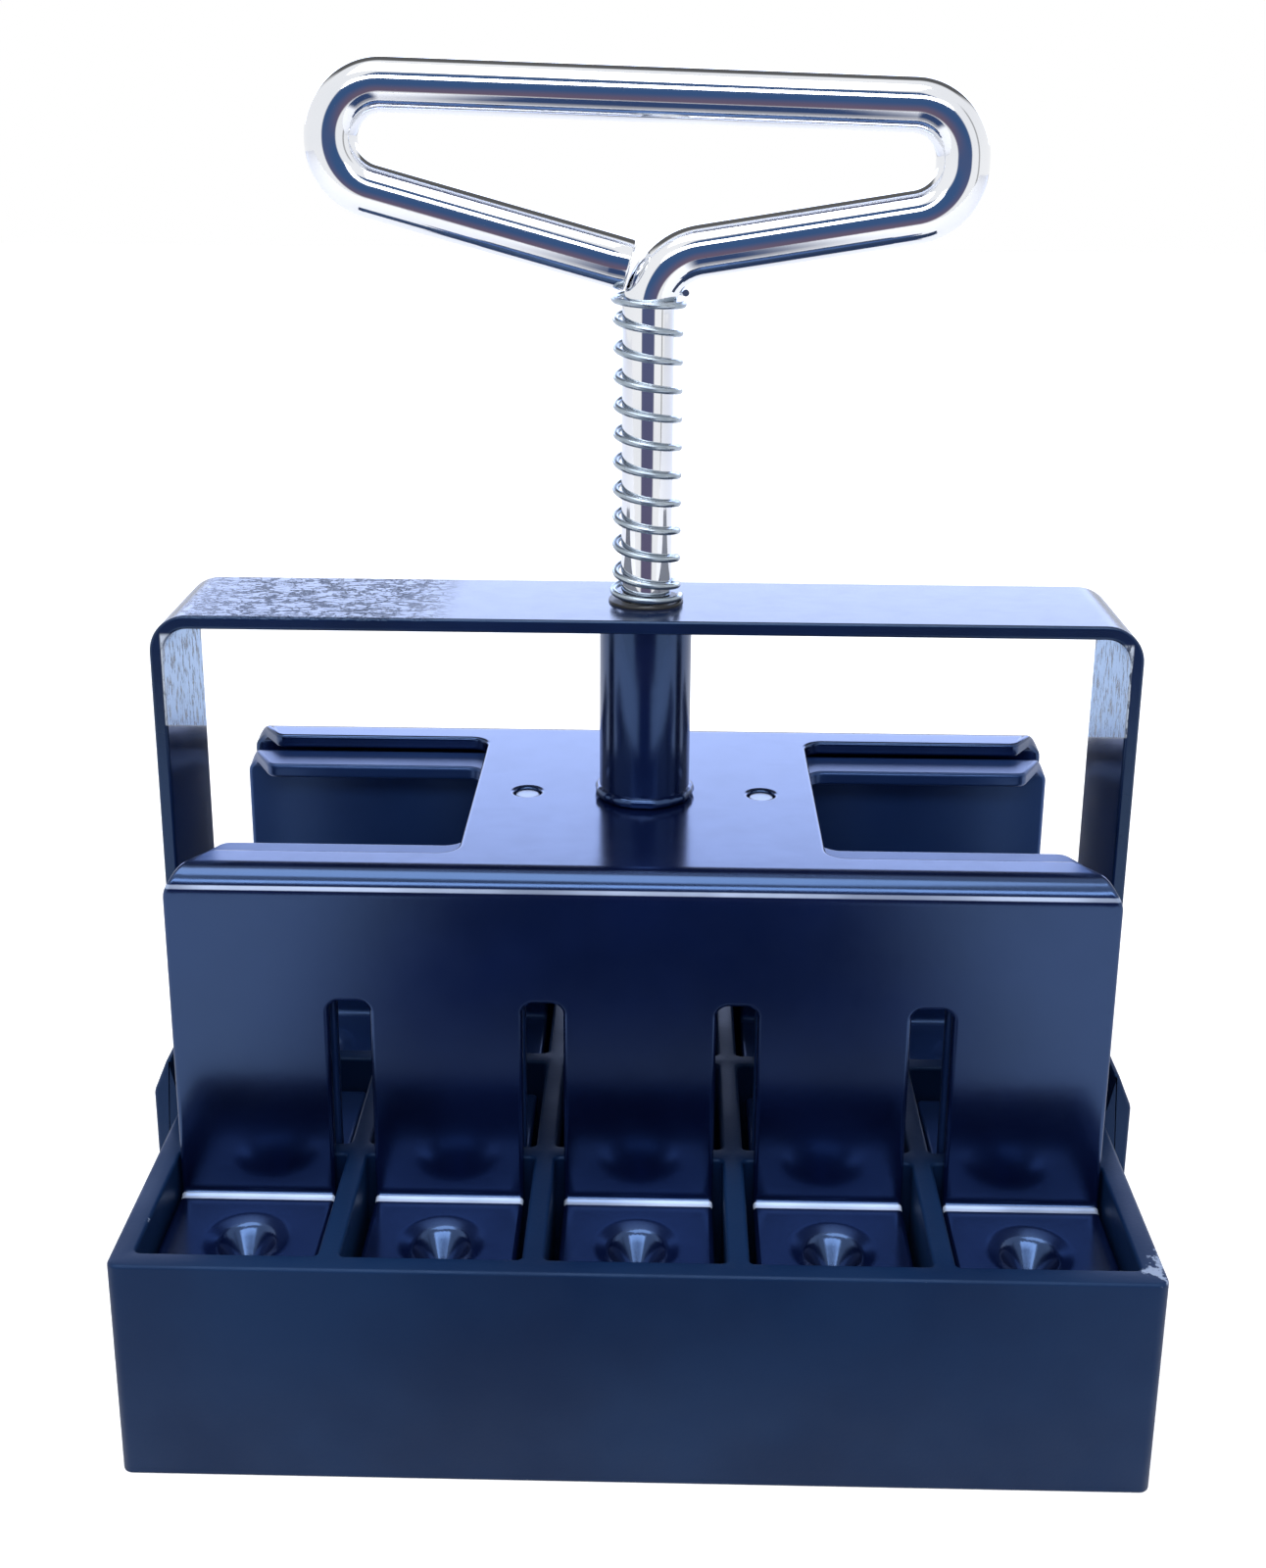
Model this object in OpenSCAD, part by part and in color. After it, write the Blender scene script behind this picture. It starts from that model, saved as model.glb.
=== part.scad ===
// Hand-held soil blocker for small cubes of compost, five cells across and four deep.
// An open moulded cell block is pushed into wet compost. A bent rod, carried by a steel strap,
// then drives two nested sheet ejectors down through the cells against a return spring.
// Millimetres, +Z up, origin under the middle of the cell block at its bottom rim.

/* [Cell block] */
// Number of cells across the block
columns = 5; // [3:1:7]
// Distance between the centres of neighbouring cells
pitch = 22; // [18:0.5:28]
// Height of the cell block
block_h = 26.5; // [22:0.5:34]
// Thickness of the walls between cells at their top edge
divider_top = 2.4; // [1.8:0.1:3.2]
// Thickness of the walls between cells at the bottom rim
divider_bottom = 1.6; // [1.2:0.1:1.8]
// Thickness of the outer walls at their top edge
outer_wall = 2.6; // [2.4:0.1:4]
// Radius of the block's vertical corners
block_corner_r = 1.2; // [0.4:0.1:2]

/* [Strap and its sockets] */
// Width of the flat strap, front to back
strap_w = 18; // [12:0.5:22]
// Thickness of the strap
strap_t = 1.6; // [1.2:0.1:2.4]
// Outer radius of the strap's two bends
strap_bend_r = 4.5; // [3:0.1:8]
// Gap between the ejectors' ends and the inner faces of the strap's legs
strap_gap = 2.65; // [2:0.05:6]
// Depth of the strap's legs in their sockets, below the top of the block
socket_depth = 20; // [10:0.5:20]
// Thickness of the socket around the leg
socket_wall = 2.5; // [1.6:0.1:4]
// Height of the sloping gusset outside the leg, above the top of the block
gusset_h = 5.4; // [2:0.1:8]

/* [Ejectors] */
// Thickness of the ejectors' sheet
sheet = 1.8; // [1.2:0.1:2.4]
// Outer radius of the bends in the sheet
sheet_bend_r = 2.8; // [2.6:0.1:4]
// Height of the outer ejector, from the underside of its feet to its top
ejector_h = 42.8; // [38:0.2:52]
// Depth of the feet's top faces below the top of the block, at rest
foot_drop = 4.3; // [3:0.1:6]
// Gap between a skirt and the wall that it runs along
skirt_gap = 0.3; // [0.3:0.05:0.6]
// Gap between an ejector's end and the block's end wall
end_gap = 0.45; // [0.3:0.05:0.8]
// Gap between the tip of a foot and the wall in front of it
foot_gap = 0.5; // [0.4:0.05:1]
// Width of the slots that clear the walls between the columns
slot_w = 4.7; // [4.2:0.1:6]
// Radius of the slots' top corners
slot_corner_r = 1.4; // [0.6:0.1:1.8]
// Travel of the plunger, from rest to its lowest position
travel = 20; // [12:0.5:20]
// Room left between a wall's top edge and the slot's top at full travel
slot_spare = 0.9; // [0.5:0.1:2]
// Width of the web that joins an ejector's front and rear halves
web_w = 42; // [30:0.5:60]
// Width of the flat flange left beside each cut-out
flange_w = 6.2; // [4.5:0.1:8]
// Radius of the cut-outs' inner corners
cutout_r = 2.4; // [1:0.1:4]
// Diameter of the two welding holes in the upper web
weld_hole_d = 3.3; // [2:0.1:5]
// Distance between the two welding holes
weld_hole_span = 28.8; // [22:0.2:36]

/* [Seed dimples] */
// Diameter of a dimple's rim on the foot's top face
dimple_d = 9.6; // [6:0.1:11]
// Depth of a dimple below the foot's underside
dimple_depth = 4.6; // [3:0.1:5]
// Diameter of a dimple's flat tip, outside
dimple_tip_d = 3; // [2.6:0.1:4]

/* [Plunger] */
// Diameter of the rod that the handle is bent from
rod_d = 6; // [5:0.1:8]
// Diameter of the rod's threaded lower end
thread_d = 5; // [4:0.1:5]
// Outer diameter of the spacer tube
tube_d = 11; // [10:0.1:14]
// Wall of the spacer tube
tube_wall = 1.5; // [1:0.1:1.6]
// Length of the spacer tube
tube_len = 23; // [18:0.5:40]
// Radius of the bead around the tube's foot
bead_r = 0.7; // [0.4:0.05:1]
// Thickness of the washer under the ejectors
washer_t = 1; // [0.6:0.1:2]
// Outer diameter of that washer
washer_d = 12; // [10:0.5:16]
// Height of the nut
nut_h = 4; // [3:0.1:5]
// Width of the nut across its flats
nut_af = 8; // [8:0.5:10]

/* [Guide bush and spring] */
// Thickness of the bush's flange on the strap
bush_flange_t = 0.8; // [0.5:0.1:1.6]
// Outer diameter of the bush's flange
bush_flange_d = 9.6; // [9:0.1:12]
// Outer diameter of the bush's barrel in the strap
bush_barrel_d = 8.2; // [7.6:0.1:8.8]
// Radial running clearance of the rod in the bush
bush_clearance = 0.05; // [0.02:0.01:0.1]
// Length of the spring at rest
spring_len = 34.4; // [32:0.2:40]
// Diameter of the spring's wire
wire_d = 0.8; // [0.6:0.05:1]
// Gap between the rod and the inside of the spring
spring_gap = 0.25; // [0.2:0.05:0.6]
// Number of turns in the spring
spring_turns = 12; // [9:1:14]
// Rise of the closed turn at each end of the spring
closed_rise = 1.3; // [1.25:0.05:1.6]

/* [Handle] */
// Radius of the neck bend on the bar's centre line
neck_r = 7; // [6:0.5:12]
// Largest radius of the loop's four bends on the bar's centre line
loop_r = 5.8; // [4.5:0.1:8]
// Reach of the loop to the right, to the bar's centre line
reach_right = 34.9; // [28:0.1:45]
// Reach of the loop to the left, to the bar's centre line
reach_left = 35.7; // [28:0.1:45]
// Height of the top bar over the start of the neck bend, above the rod
loop_h = 23.9; // [23.5:0.1:30]
// Slope of the right arm
right_slope = 9.3; // [6:0.1:12]
// Slope of the left arm
left_slope = 15.3; // [12:0.1:16]
// Slope of the top bar, falling to the right
top_slope = 1.7; // [0:0.1:3]
// Distance of the left arm's cut end from the rod's axis
arm_end = 2.1; // [2:0.1:6]
// Height of the left arm's centre line at that end, over the start of the neck bend
arm_end_h = 5.2; // [5:0.1:7]

/* [Hidden] */
$fn = 64;
eps = 0.01;
cut = 1;

// Each ejector serves two of the four rows, so the number of rows is fixed.
rows = 4;
inner_w = columns * pitch - divider_top;
inner_d = rows * pitch - divider_top;
block_w = inner_w + 2 * outer_wall;
block_d = inner_d + 2 * outer_wall;

// Ejector faces, measured from the middle plane
ejector_w = inner_w - 2 * end_gap;
outer_face = pitch + divider_top / 2 + skirt_gap + sheet;
inner_face = pitch - divider_top / 2 - skirt_gap;
outer_foot_tip = inner_d / 2 - foot_gap;
inner_foot_tip = divider_top / 2 + foot_gap;

// Levels
foot_top = block_h - foot_drop;
foot_under = foot_top - sheet;
outer_top = foot_under + ejector_h;
inner_top = outer_top - sheet;
strap_under = outer_top + tube_len;
strap_top = strap_under + strap_t;
slot_top = block_h + travel + slot_spare;
spring_z0 = strap_top + bush_flange_t;
spring_z1 = spring_z0 + spring_len;
seat_on_neck = 0.9;
neck_z = spring_z1 - seat_on_neck;
rod_end = inner_top - sheet - washer_t - nut_h - thread_d / 4;

// Strap legs and sockets
leg_in = ejector_w / 2 + strap_gap;
leg_out = leg_in + strap_t;
leg_foot = block_h - socket_depth;
socket_out = leg_out + socket_wall;
socket_top = block_h + 0.8;
socket_half = strap_w / 2 + socket_wall;
gusset_tip = 0.6;

// Holes on the plunger's axis
thread_gap = 0.1;
strap_hole_d = bush_barrel_d;
thread_hole_d = thread_d + 2 * thread_gap;

// ---- plane shapes -------------------------------------------------------------

// Rectangle with rounded corners, centred
module rounded_rect(w, d, r) {
    square([w - 2 * r, d], center = true);
    square([w, d - 2 * r], center = true);
    for (sx = [-1, 1], sy = [-1, 1])
        translate([sx * (w / 2 - r), sy * (d / 2 - r)])
            circle(r);
}

// Quarter ring of sheet in the first quadrant, about the origin
module quarter_ring(r_out, t) {
    intersection() {
        difference() {
            circle(r_out);
            circle(r_out - t);
        }
        square(r_out);
    }
}

// Half section of a bent ejector, from the middle plane outwards: x is depth and y is height.
// side is 1 where the foot turns outwards and -1 where it turns back inwards.
module ejector_half_section(face, top, foot_tip, side) {
    r = sheet_bend_r;
    skirt_foot = foot_under + r;
    // Web or flange
    translate([0, top - sheet])
        square([face - r, sheet]);
    // Upper bend
    translate([face - r, top - r])
        quarter_ring(r, sheet);
    // Skirt
    translate([face - sheet, skirt_foot])
        square([sheet, top - r - skirt_foot]);
    // Lower bend and foot
    pivot = side > 0 ? face - sheet + r : face - r;
    translate([pivot, skirt_foot])
        mirror([side > 0 ? 1 : 0, 0])
            mirror([0, 1])
                quarter_ring(r, sheet);
    if (side > 0)
        translate([pivot, foot_under])
            square([foot_tip - pivot, sheet]);
    else
        translate([foot_tip, foot_under])
            square([pivot - foot_tip, sheet]);
}

// ---- ejector features ---------------------------------------------------------

function column_x(i) = (i - (columns - 1) / 2) * pitch;
function divider_x(i) = column_x(i) + pitch / 2;

// Slots through both skirts and feet, one over each wall between columns
module slots(depth) {
    low = foot_under - dimple_depth - cut;
    for (i = [0 : columns - 2])
        translate([divider_x(i), depth, slot_top])
            rotate([90, 0, 0])
                linear_extrude(2 * depth)
                    union() {
                        translate([-slot_w / 2, low - slot_top])
                            square([slot_w, slot_top - slot_corner_r - low]);
                        translate([-slot_w / 2 + slot_corner_r, -slot_corner_r])
                            square([slot_w - 2 * slot_corner_r, slot_corner_r]);
                        for (s = [-1, 1])
                            translate([s * (slot_w / 2 - slot_corner_r), -slot_corner_r])
                                circle(slot_corner_r);
                    }
}

// Mitre across a flange's end and its bend, which runs out to nothing at the skirt's outer face
module flange_mitres(face, top) {
    half_d = face - flange_w;
    end = ejector_w / 2;
    for (sx = [0, 1], sy = [0, 1])
        mirror([sx, 0, 0])
            mirror([0, sy, 0])
                translate([0, 0, top - sheet_bend_r])
                    linear_extrude(sheet_bend_r + cut)
                        polygon([[end - flange_w, half_d - eps], [end + cut, half_d - eps],
                                 [end + cut, face + cut], [end, face]]);
}

// Openings in the top on both sides of the web, run out past the ends
module web_cutouts(face, top) {
    half_d = face - flange_w;
    length = (ejector_w - web_w) / 2;
    for (s = [0, 1])
        mirror([s, 0, 0])
            translate([web_w / 2, 0, top - sheet - cut])
                linear_extrude(sheet + 2 * cut)
                    union() {
                        translate([(length + cut) / 2, 0])
                            rounded_rect(length + cut, 2 * half_d, cutout_r);
                        translate([length / 2, -half_d])
                            square([length / 2 + cut, 2 * half_d]);
                    }
}

// Outside and inside of a pressed dimple, from the foot's plane down to the tip
module dimple_outside() {
    translate([0, 0, foot_under - dimple_depth])
        cylinder(h = dimple_depth + eps, d1 = dimple_tip_d, d2 = dimple_d);
}

module dimple_inside() {
    wall = sheet / 2;
    translate([0, 0, foot_under - dimple_depth + wall])
        cylinder(h = dimple_depth + sheet - wall + eps,
                 d1 = dimple_tip_d - wall, d2 = dimple_d);
}

// Places its children at the middle of every foot in the two rows at depth y
module at_feet(y) {
    for (i = [0 : columns - 1], s = [-1, 1])
        translate([column_x(i), s * y, 0])
            children();
}

// One bent and pierced ejector, without the holes in its web
module ejector(face, top, foot_tip, side) {
    foot_y = (face - (side > 0 ? 0 : sheet) + foot_tip) / 2;
    difference() {
        union() {
            for (s = [0, 1])
                mirror([0, s, 0])
                    rotate([90, 0, 90])
                        translate([0, 0, -ejector_w / 2])
                            linear_extrude(ejector_w)
                                ejector_half_section(face, top, foot_tip, side);
            at_feet(foot_y) dimple_outside();
        }
        slots(max(face, foot_tip) + cut);
        web_cutouts(face, top);
        flange_mitres(face, top);
        at_feet(foot_y) dimple_inside();
        translate([0, 0, top - sheet - cut])
            cylinder(h = sheet + 2 * cut, d = thread_hole_d);
    }
}

// ---- cell block ---------------------------------------------------------------

// A cell: an upright pocket that widens towards the rim
module cell_pocket() {
    top = pitch - divider_top;
    bottom = pitch - divider_bottom;
    slope = (bottom - top) / block_h / 2;
    section = [[-bottom / 2 - slope * cut, -cut], [bottom / 2 + slope * cut, -cut],
               [top / 2 - slope * cut, block_h + cut], [-top / 2 + slope * cut, block_h + cut]];
    intersection() {
        rotate([90, 0, 0])
            linear_extrude(2 * pitch, center = true)
                polygon(section);
        rotate([90, 0, 90])
            linear_extrude(2 * pitch, center = true)
                polygon(section);
    }
}

// Socket on an end wall that holds one leg of the strap
module strap_socket() {
    inside = inner_w / 2 + outer_wall / 2;
    rotate([90, 0, 0])
        linear_extrude(2 * socket_half, center = true)
            polygon([[inside, 0], [socket_out, 0], [socket_out, socket_top],
                     [leg_out + gusset_tip, block_h + gusset_h],
                     [inside, block_h + gusset_h]]);
}

// Everything above the wall's top and inside the leg's outer face is cut away again
module socket_relief() {
    translate([inner_w / 2 - cut, -socket_half - cut, block_h])
        cube([leg_out - inner_w / 2 + cut, 2 * (socket_half + cut), gusset_h + cut]);
}

module cell_block() {
    color("#22304a")
    difference() {
        union() {
            linear_extrude(block_h)
                rounded_rect(block_w, block_d, block_corner_r);
            for (s = [0, 1])
                mirror([s, 0, 0])
                    strap_socket();
        }
        for (i = [0 : columns - 1], j = [0 : rows - 1])
            translate([column_x(i), (j - (rows - 1) / 2) * pitch, 0])
                cell_pocket();
        for (s = [0, 1])
            mirror([s, 0, 0]) {
                socket_relief();
                translate([leg_in, -strap_w / 2, leg_foot])
                    cube([strap_t, strap_w, socket_depth + gusset_h + cut]);
            }
    }
}

// ---- strap and bush -----------------------------------------------------------

module frame_strap() {
    r = strap_bend_r;
    color("#1d2a44")
    difference() {
        rotate([90, 0, 0])
            linear_extrude(strap_w, center = true)
                for (s = [0, 1])
                    mirror([s, 0]) {
                        translate([0, strap_under])
                            square([leg_out - r, strap_t]);
                        translate([leg_out - r, strap_top - r])
                            quarter_ring(r, strap_t);
                        translate([leg_in, leg_foot])
                            square([strap_t, strap_top - r - leg_foot]);
                    }
        translate([0, 0, strap_under - cut])
            cylinder(h = strap_t + 2 * cut, d = strap_hole_d);
    }
}

module guide_bush() {
    color("#14181f")
    difference() {
        union() {
            translate([0, 0, strap_under])
                cylinder(h = strap_t, d = bush_barrel_d);
            translate([0, 0, strap_top])
                cylinder(h = bush_flange_t, d = bush_flange_d);
        }
        translate([0, 0, strap_under - cut])
            cylinder(h = strap_t + bush_flange_t + 2 * cut, d = rod_d + 2 * bush_clearance);
    }
}

// ---- handle rod ---------------------------------------------------------------

function unit(v) = v / norm(v);
function heading(v) = atan2(v[1], v[0]);
// Turn at corner i of a path, positive to the left, in -180 to 180
function turn_at(path, i) =
    let (a = heading(path[i + 1] - path[i]) - heading(path[i] - path[i - 1]))
    a > 180 ? a - 360 : a < -180 ? a + 360 : a;
function tangent_len(path, radii, i) = radii[i] * tan(abs(turn_at(path, i)) / 2);

// Round bar along a plane path, with a bend of radii[i] at each inner point i. A straight
// reaches a hair into the bends beside it, which are a hair thicker.
module bent_bar(path, radii, d) {
    last = len(path) - 1;
    hair = 0.02;
    for (i = [0 : last - 1]) {
        along = unit(path[i + 1] - path[i]);
        lead = i == 0 ? 0 : tangent_len(path, radii, i);
        trail = i == last - 1 ? 0 : tangent_len(path, radii, i + 1);
        near = i == 0 ? 0 : hair;
        far = i == last - 1 ? 0 : hair;
        length = norm(path[i + 1] - path[i]) - lead - trail + near + far;
        translate(path[i] + along * (lead - near))
            rotate([0, 0, heading(along)])
                rotate([0, 90, 0])
                    cylinder(h = length, d = d);
    }
    for (i = [1 : last - 1]) {
        turn = turn_at(path, i);
        into = unit(path[i] - path[i - 1]);
        left = [-into[1], into[0]];
        start = path[i] - into * tangent_len(path, radii, i);
        centre = start + left * sign(turn) * radii[i];
        translate(centre)
            rotate([0, 0, heading(start - centre) + min(turn, 0)])
                rotate_extrude(angle = abs(turn))
                    translate([radii[i], 0])
                        circle(d = d + 2 * hair);
    }
}

// Corners of the handle, from the rod's shoulder up, round the loop and back to the neck
neck_corner = [0, neck_z + neck_r * tan((90 - right_slope) / 2)];
right_low = [reach_right, neck_corner[1] + reach_right * tan(right_slope)];
right_high = [reach_right, neck_z + loop_h - reach_right * tan(top_slope)];
left_high = [-reach_left, neck_z + loop_h + reach_left * tan(top_slope)];
left_low = [-reach_left, neck_z + arm_end_h + (reach_left - arm_end) * tan(left_slope)];
loop_end = [-arm_end, neck_z + arm_end_h];

// The two bends at each end of the loop share the height there
end_straight = 0.1;
right_room = (right_high[1] - right_low[1] - end_straight)
    / (tan((90 - right_slope) / 2) + tan((90 - top_slope) / 2));
left_room = (left_high[1] - left_low[1] - end_straight)
    / (tan((90 - left_slope) / 2) + tan((90 + top_slope) / 2));
loop_bend_r = min(loop_r, right_room, left_room);

module handle_rod() {
    color("#cfd6e2") {
        rotate([90, 0, 0])
            bent_bar([[0, outer_top], neck_corner, right_low, right_high, left_high, left_low,
                      loop_end],
                     [0, neck_r, loop_bend_r, loop_bend_r, loop_bend_r, loop_bend_r, 0],
                     rod_d);
        translate([0, 0, rod_end])
            cylinder(h = outer_top - rod_end, d = thread_d);
    }
}

// ---- return spring ------------------------------------------------------------

spring_r = rod_d / 2 + spring_gap + wire_d / 2;
rings_per_turn = 12;
wire_sides = 6;
spring_rings = spring_turns * rings_per_turn;
open_rise = (spring_len - wire_d - 2 * closed_rise) / (spring_turns - 2);

// Height of the wire's centre above the spring's lowest ring after t turns
function spring_rise(t) =
    t < 1 ? closed_rise * t
    : t > spring_turns - 1 ? spring_len - wire_d - closed_rise * (spring_turns - t)
    : closed_rise + open_rise * (t - 1);
// The wire winds left-handed from the front
function spring_centre(t) =
    [spring_r * cos(360 * t), -spring_r * sin(360 * t), spring_z0 + wire_d / 2 + spring_rise(t)];
function spring_point(k, j) =
    let (t = k / rings_per_turn, a = 360 * j / wire_sides + 30, r = wire_d / 2)
    spring_centre(t) + [r * cos(a) * cos(360 * t), -r * cos(a) * sin(360 * t), r * sin(a)];

spring_points = [for (k = [0 : spring_rings], j = [0 : wire_sides - 1]) spring_point(k, j)];
spring_sides = [
    for (k = [0 : spring_rings - 1], j = [0 : wire_sides - 1])
        let (a = k * wire_sides + j,
             b = k * wire_sides + (j + 1) % wire_sides,
             c = a + wire_sides,
             d = b + wire_sides)
        each [[a, b, d], [a, d, c]]
];
spring_caps = [
    for (j = [1 : wire_sides - 2])
        let (z = spring_rings * wire_sides)
        each [[0, j + 1, j], [z, z + j, z + j + 1]]
];

// Least distance between points of the wire that are half a turn or more apart
spring_least_gap = min([
    for (k = [0 : spring_rings], m = [k + rings_per_turn / 2 : spring_rings])
        norm(spring_centre(k / rings_per_turn) - spring_centre(m / rings_per_turn)) - wire_d
]);
echo(spring_least_gap = spring_least_gap);

module return_spring() {
    color("#b9c2cc")
        polyhedron(points = spring_points, faces = concat(spring_sides, spring_caps));
}

// ---- plunger ------------------------------------------------------------------

module spacer_tube() {
    color("#1d2a44")
    difference() {
        union() {
            translate([0, 0, outer_top])
                cylinder(h = tube_len, d = tube_d);
            translate([0, 0, outer_top + bead_r])
                rotate_extrude()
                    translate([tube_d / 2, 0])
                        circle(bead_r, $fn = 32);
        }
        translate([0, 0, outer_top - cut])
            cylinder(h = tube_len + 2 * cut, d = tube_d - 2 * tube_wall);
    }
}

module outer_ejector() {
    color("#24324f")
    difference() {
        ejector(outer_face, outer_top, outer_foot_tip, 1);
        for (s = [-1, 1])
            translate([s * weld_hole_span / 2, 0, outer_top - sheet - cut])
                cylinder(h = sheet + 2 * cut, d = weld_hole_d);
    }
}

module inner_ejector() {
    color("#2a3a5a")
        ejector(inner_face, inner_top, inner_foot_tip, -1);
}

module rod_washer() {
    color("#aeb6c0")
    translate([0, 0, inner_top - sheet - washer_t])
        difference() {
            cylinder(h = washer_t, d = washer_d);
            translate([0, 0, -cut])
                cylinder(h = washer_t + 2 * cut, d = thread_hole_d);
        }
}

module rod_nut() {
    color("#aeb6c0")
    translate([0, 0, inner_top - sheet - washer_t - nut_h])
        difference() {
            cylinder(h = nut_h, d = nut_af / cos(30), $fn = 6);
            translate([0, 0, -cut])
                cylinder(h = nut_h + 2 * cut, d = thread_hole_d);
        }
}

cell_block();
frame_strap();
guide_bush();
handle_rod();
return_spring();
spacer_tube();
outer_ejector();
inner_ejector();
rod_washer();
rod_nut();
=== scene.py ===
"""Dresses the packed soil blocker: bent and coated sheet ejectors, chromed bar, spring and moulded block.

Lengths in this file are millimetres, in the CAD frame: +Z up, origin under the middle of the block.
"""

import logging
import math
from dataclasses import dataclass
from enum import Enum
from functools import reduce
from typing import Any, Callable

import bmesh
import bpy
import numpy as np
from mathutils import Matrix
from mathutils.geometry import delaunay_2d_cdt


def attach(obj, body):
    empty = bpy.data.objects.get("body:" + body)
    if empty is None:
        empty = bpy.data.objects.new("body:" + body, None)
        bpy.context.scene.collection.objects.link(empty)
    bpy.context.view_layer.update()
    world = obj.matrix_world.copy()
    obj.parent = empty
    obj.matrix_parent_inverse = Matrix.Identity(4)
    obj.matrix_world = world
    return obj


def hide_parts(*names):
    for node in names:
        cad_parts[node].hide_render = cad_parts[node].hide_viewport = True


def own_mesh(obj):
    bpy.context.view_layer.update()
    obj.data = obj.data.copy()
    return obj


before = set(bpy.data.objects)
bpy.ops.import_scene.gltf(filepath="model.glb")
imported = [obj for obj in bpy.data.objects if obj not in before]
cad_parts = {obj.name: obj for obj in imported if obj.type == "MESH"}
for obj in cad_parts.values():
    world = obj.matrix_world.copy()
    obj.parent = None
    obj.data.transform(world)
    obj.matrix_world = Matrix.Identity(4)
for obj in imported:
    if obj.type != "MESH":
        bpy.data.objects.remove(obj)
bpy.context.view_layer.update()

LOG = logging.getLogger("soil_blocker")
MM = 0.001
PER_MM = 1 / MM
NEAR = 1e-6
Array = np.ndarray


class Body(Enum):
    """The two CAD bodies that pieces ride on."""

    FRAME = "frame"
    PLUNGER = "plunger"


# ---- sizes shared by several pieces ------------------------------------------------


@dataclass(frozen=True)
class Levels:
    """Heights and distances that more than one piece is set out from, as in the CAD source."""

    pitch: float = 22.0
    columns: int = 5
    rows: int = 4
    block_top: float = 26.5
    foot_under: float = 20.4
    sheet: float = 1.8
    outer_top: float = 63.2
    inner_top: float = 61.4
    slot_top: float = 47.4
    strap_under: float = 86.2
    strap_top: float = 87.8
    spring_foot: float = 88.15
    neck: float = 122.1
    weld_x: float = 14.4


LEVELS = Levels()


# ---- surfaces ----------------------------------------------------------------------


def ruled(stops: list[float], steps: list[float]) -> Array:
    """Grid lines through every stop, with each gap cut into equal parts near the wanted step.

    Args:
        stops: Increasing places that must be grid lines.
        steps: Wanted spacing in each gap between two stops.

    Returns:
        The lines in increasing order.
    """
    parts = [
        np.linspace(a, b, max(1, round((b - a) / step)) + 1)[:-1]
        for a, b, step in zip(stops[:-1], stops[1:], steps)
    ]
    return np.concatenate(parts + [np.array([stops[-1]])])


def shade(mesh: bpy.types.Mesh, smooth_below: float) -> None:
    """Shades a mesh smooth, but for edges that turn by more than smooth_below degrees."""
    mesh.polygons.foreach_set("use_smooth", np.ones(len(mesh.polygons), bool))
    mesh.set_sharp_from_angle(angle=math.radians(smooth_below))


def at_height(plane: Array, height: float) -> Array:
    """The plane's points, all at one height."""
    return np.column_stack([plane, np.full(len(plane), height)])


def full_circle(count: int) -> Array:
    """Angles of count points spaced evenly round a circle."""
    return np.arange(count) * 2 * math.pi / count


def circles(radius: Array, height: Array, angle: Array) -> Array:
    """Rings about the rod's axis: every point lies at its radius and angle, at its ring's height.

    Args:
        radius: Radii, one for each ring, or one for each point of each ring.
        height: Height of each ring.
        angle: Angle of each point of a ring.

    Returns:
        Points, as rings by points by three.
    """
    whole = np.ones(len(angle))
    radius = radius.reshape(len(height), -1) * whole
    return np.stack([radius * np.cos(angle), radius * np.sin(angle), height[:, None] * whole], axis=-1)


def carried(middle: Array, side: Array, other: Array, radius: Array, around: int) -> Array:
    """Circles carried along a path: its middle plus radius times cosine and sine of two directions.

    Args:
        middle: Points of the path.
        side: Direction at each point, square to the path, in which its circle starts.
        other: Direction that its circles turn towards.
        radius: Radius at each point.
        around: Number of points in each circle.

    Returns:
        Points, as rings by points by three.
    """
    angle = full_circle(around)
    ring = np.cos(angle)[None, :, None] * side[:, None, :] + np.sin(angle)[None, :, None] * other
    return middle[:, None, :] + radius[:, None, None] * ring


def add_mesh(name: str, points: Array, faces: list[Array], smooth_below: float = 35.0) -> bpy.types.Object:
    """Puts points and faces into a new mesh object at the origin.

    Args:
        name: Name of the piece.
        points: Corner places in millimetres, one row each.
        faces: Arrays of faces, each with one row of corner numbers per face.
        smooth_below: Edges that turn by more than this many degrees stay sharp.

    Returns:
        The linked object.
    """
    mesh = bpy.data.meshes.new(name)
    sizes = np.concatenate([np.full(len(f), f.shape[1]) for f in faces])
    corners = np.concatenate([f.ravel() for f in faces])
    mesh.vertices.add(len(points))
    mesh.vertices.foreach_set("co", (points * MM).astype(np.float32).ravel())
    mesh.loops.add(len(corners))
    mesh.loops.foreach_set("vertex_index", corners.astype(np.int32))
    mesh.polygons.add(len(sizes))
    mesh.polygons.foreach_set("loop_start", (np.cumsum(sizes) - sizes).astype(np.int32))
    mesh.polygons.foreach_set("loop_total", sizes.astype(np.int32))
    mesh.update(calc_edges=True)
    mesh.validate()
    shade(mesh, smooth_below)
    piece = bpy.data.objects.new(name, mesh)
    bpy.context.scene.collection.objects.link(piece)
    return piece


def grid_faces(rows: int, cols: int, wrap: bool) -> Array:
    """Four-cornered faces of a grid of points numbered row by row.

    Args:
        rows: Number of rows of points.
        cols: Number of points in a row.
        wrap: Whether the last point of a row joins its first.

    Returns:
        One row of four corner numbers for each face.
    """
    i, j = np.meshgrid(np.arange(rows - 1), np.arange(cols if wrap else cols - 1), indexing="ij")
    k = (j + 1) % cols
    return np.stack([i * cols + j, i * cols + k, (i + 1) * cols + k, (i + 1) * cols + j], axis=-1).reshape(-1, 4)


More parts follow.
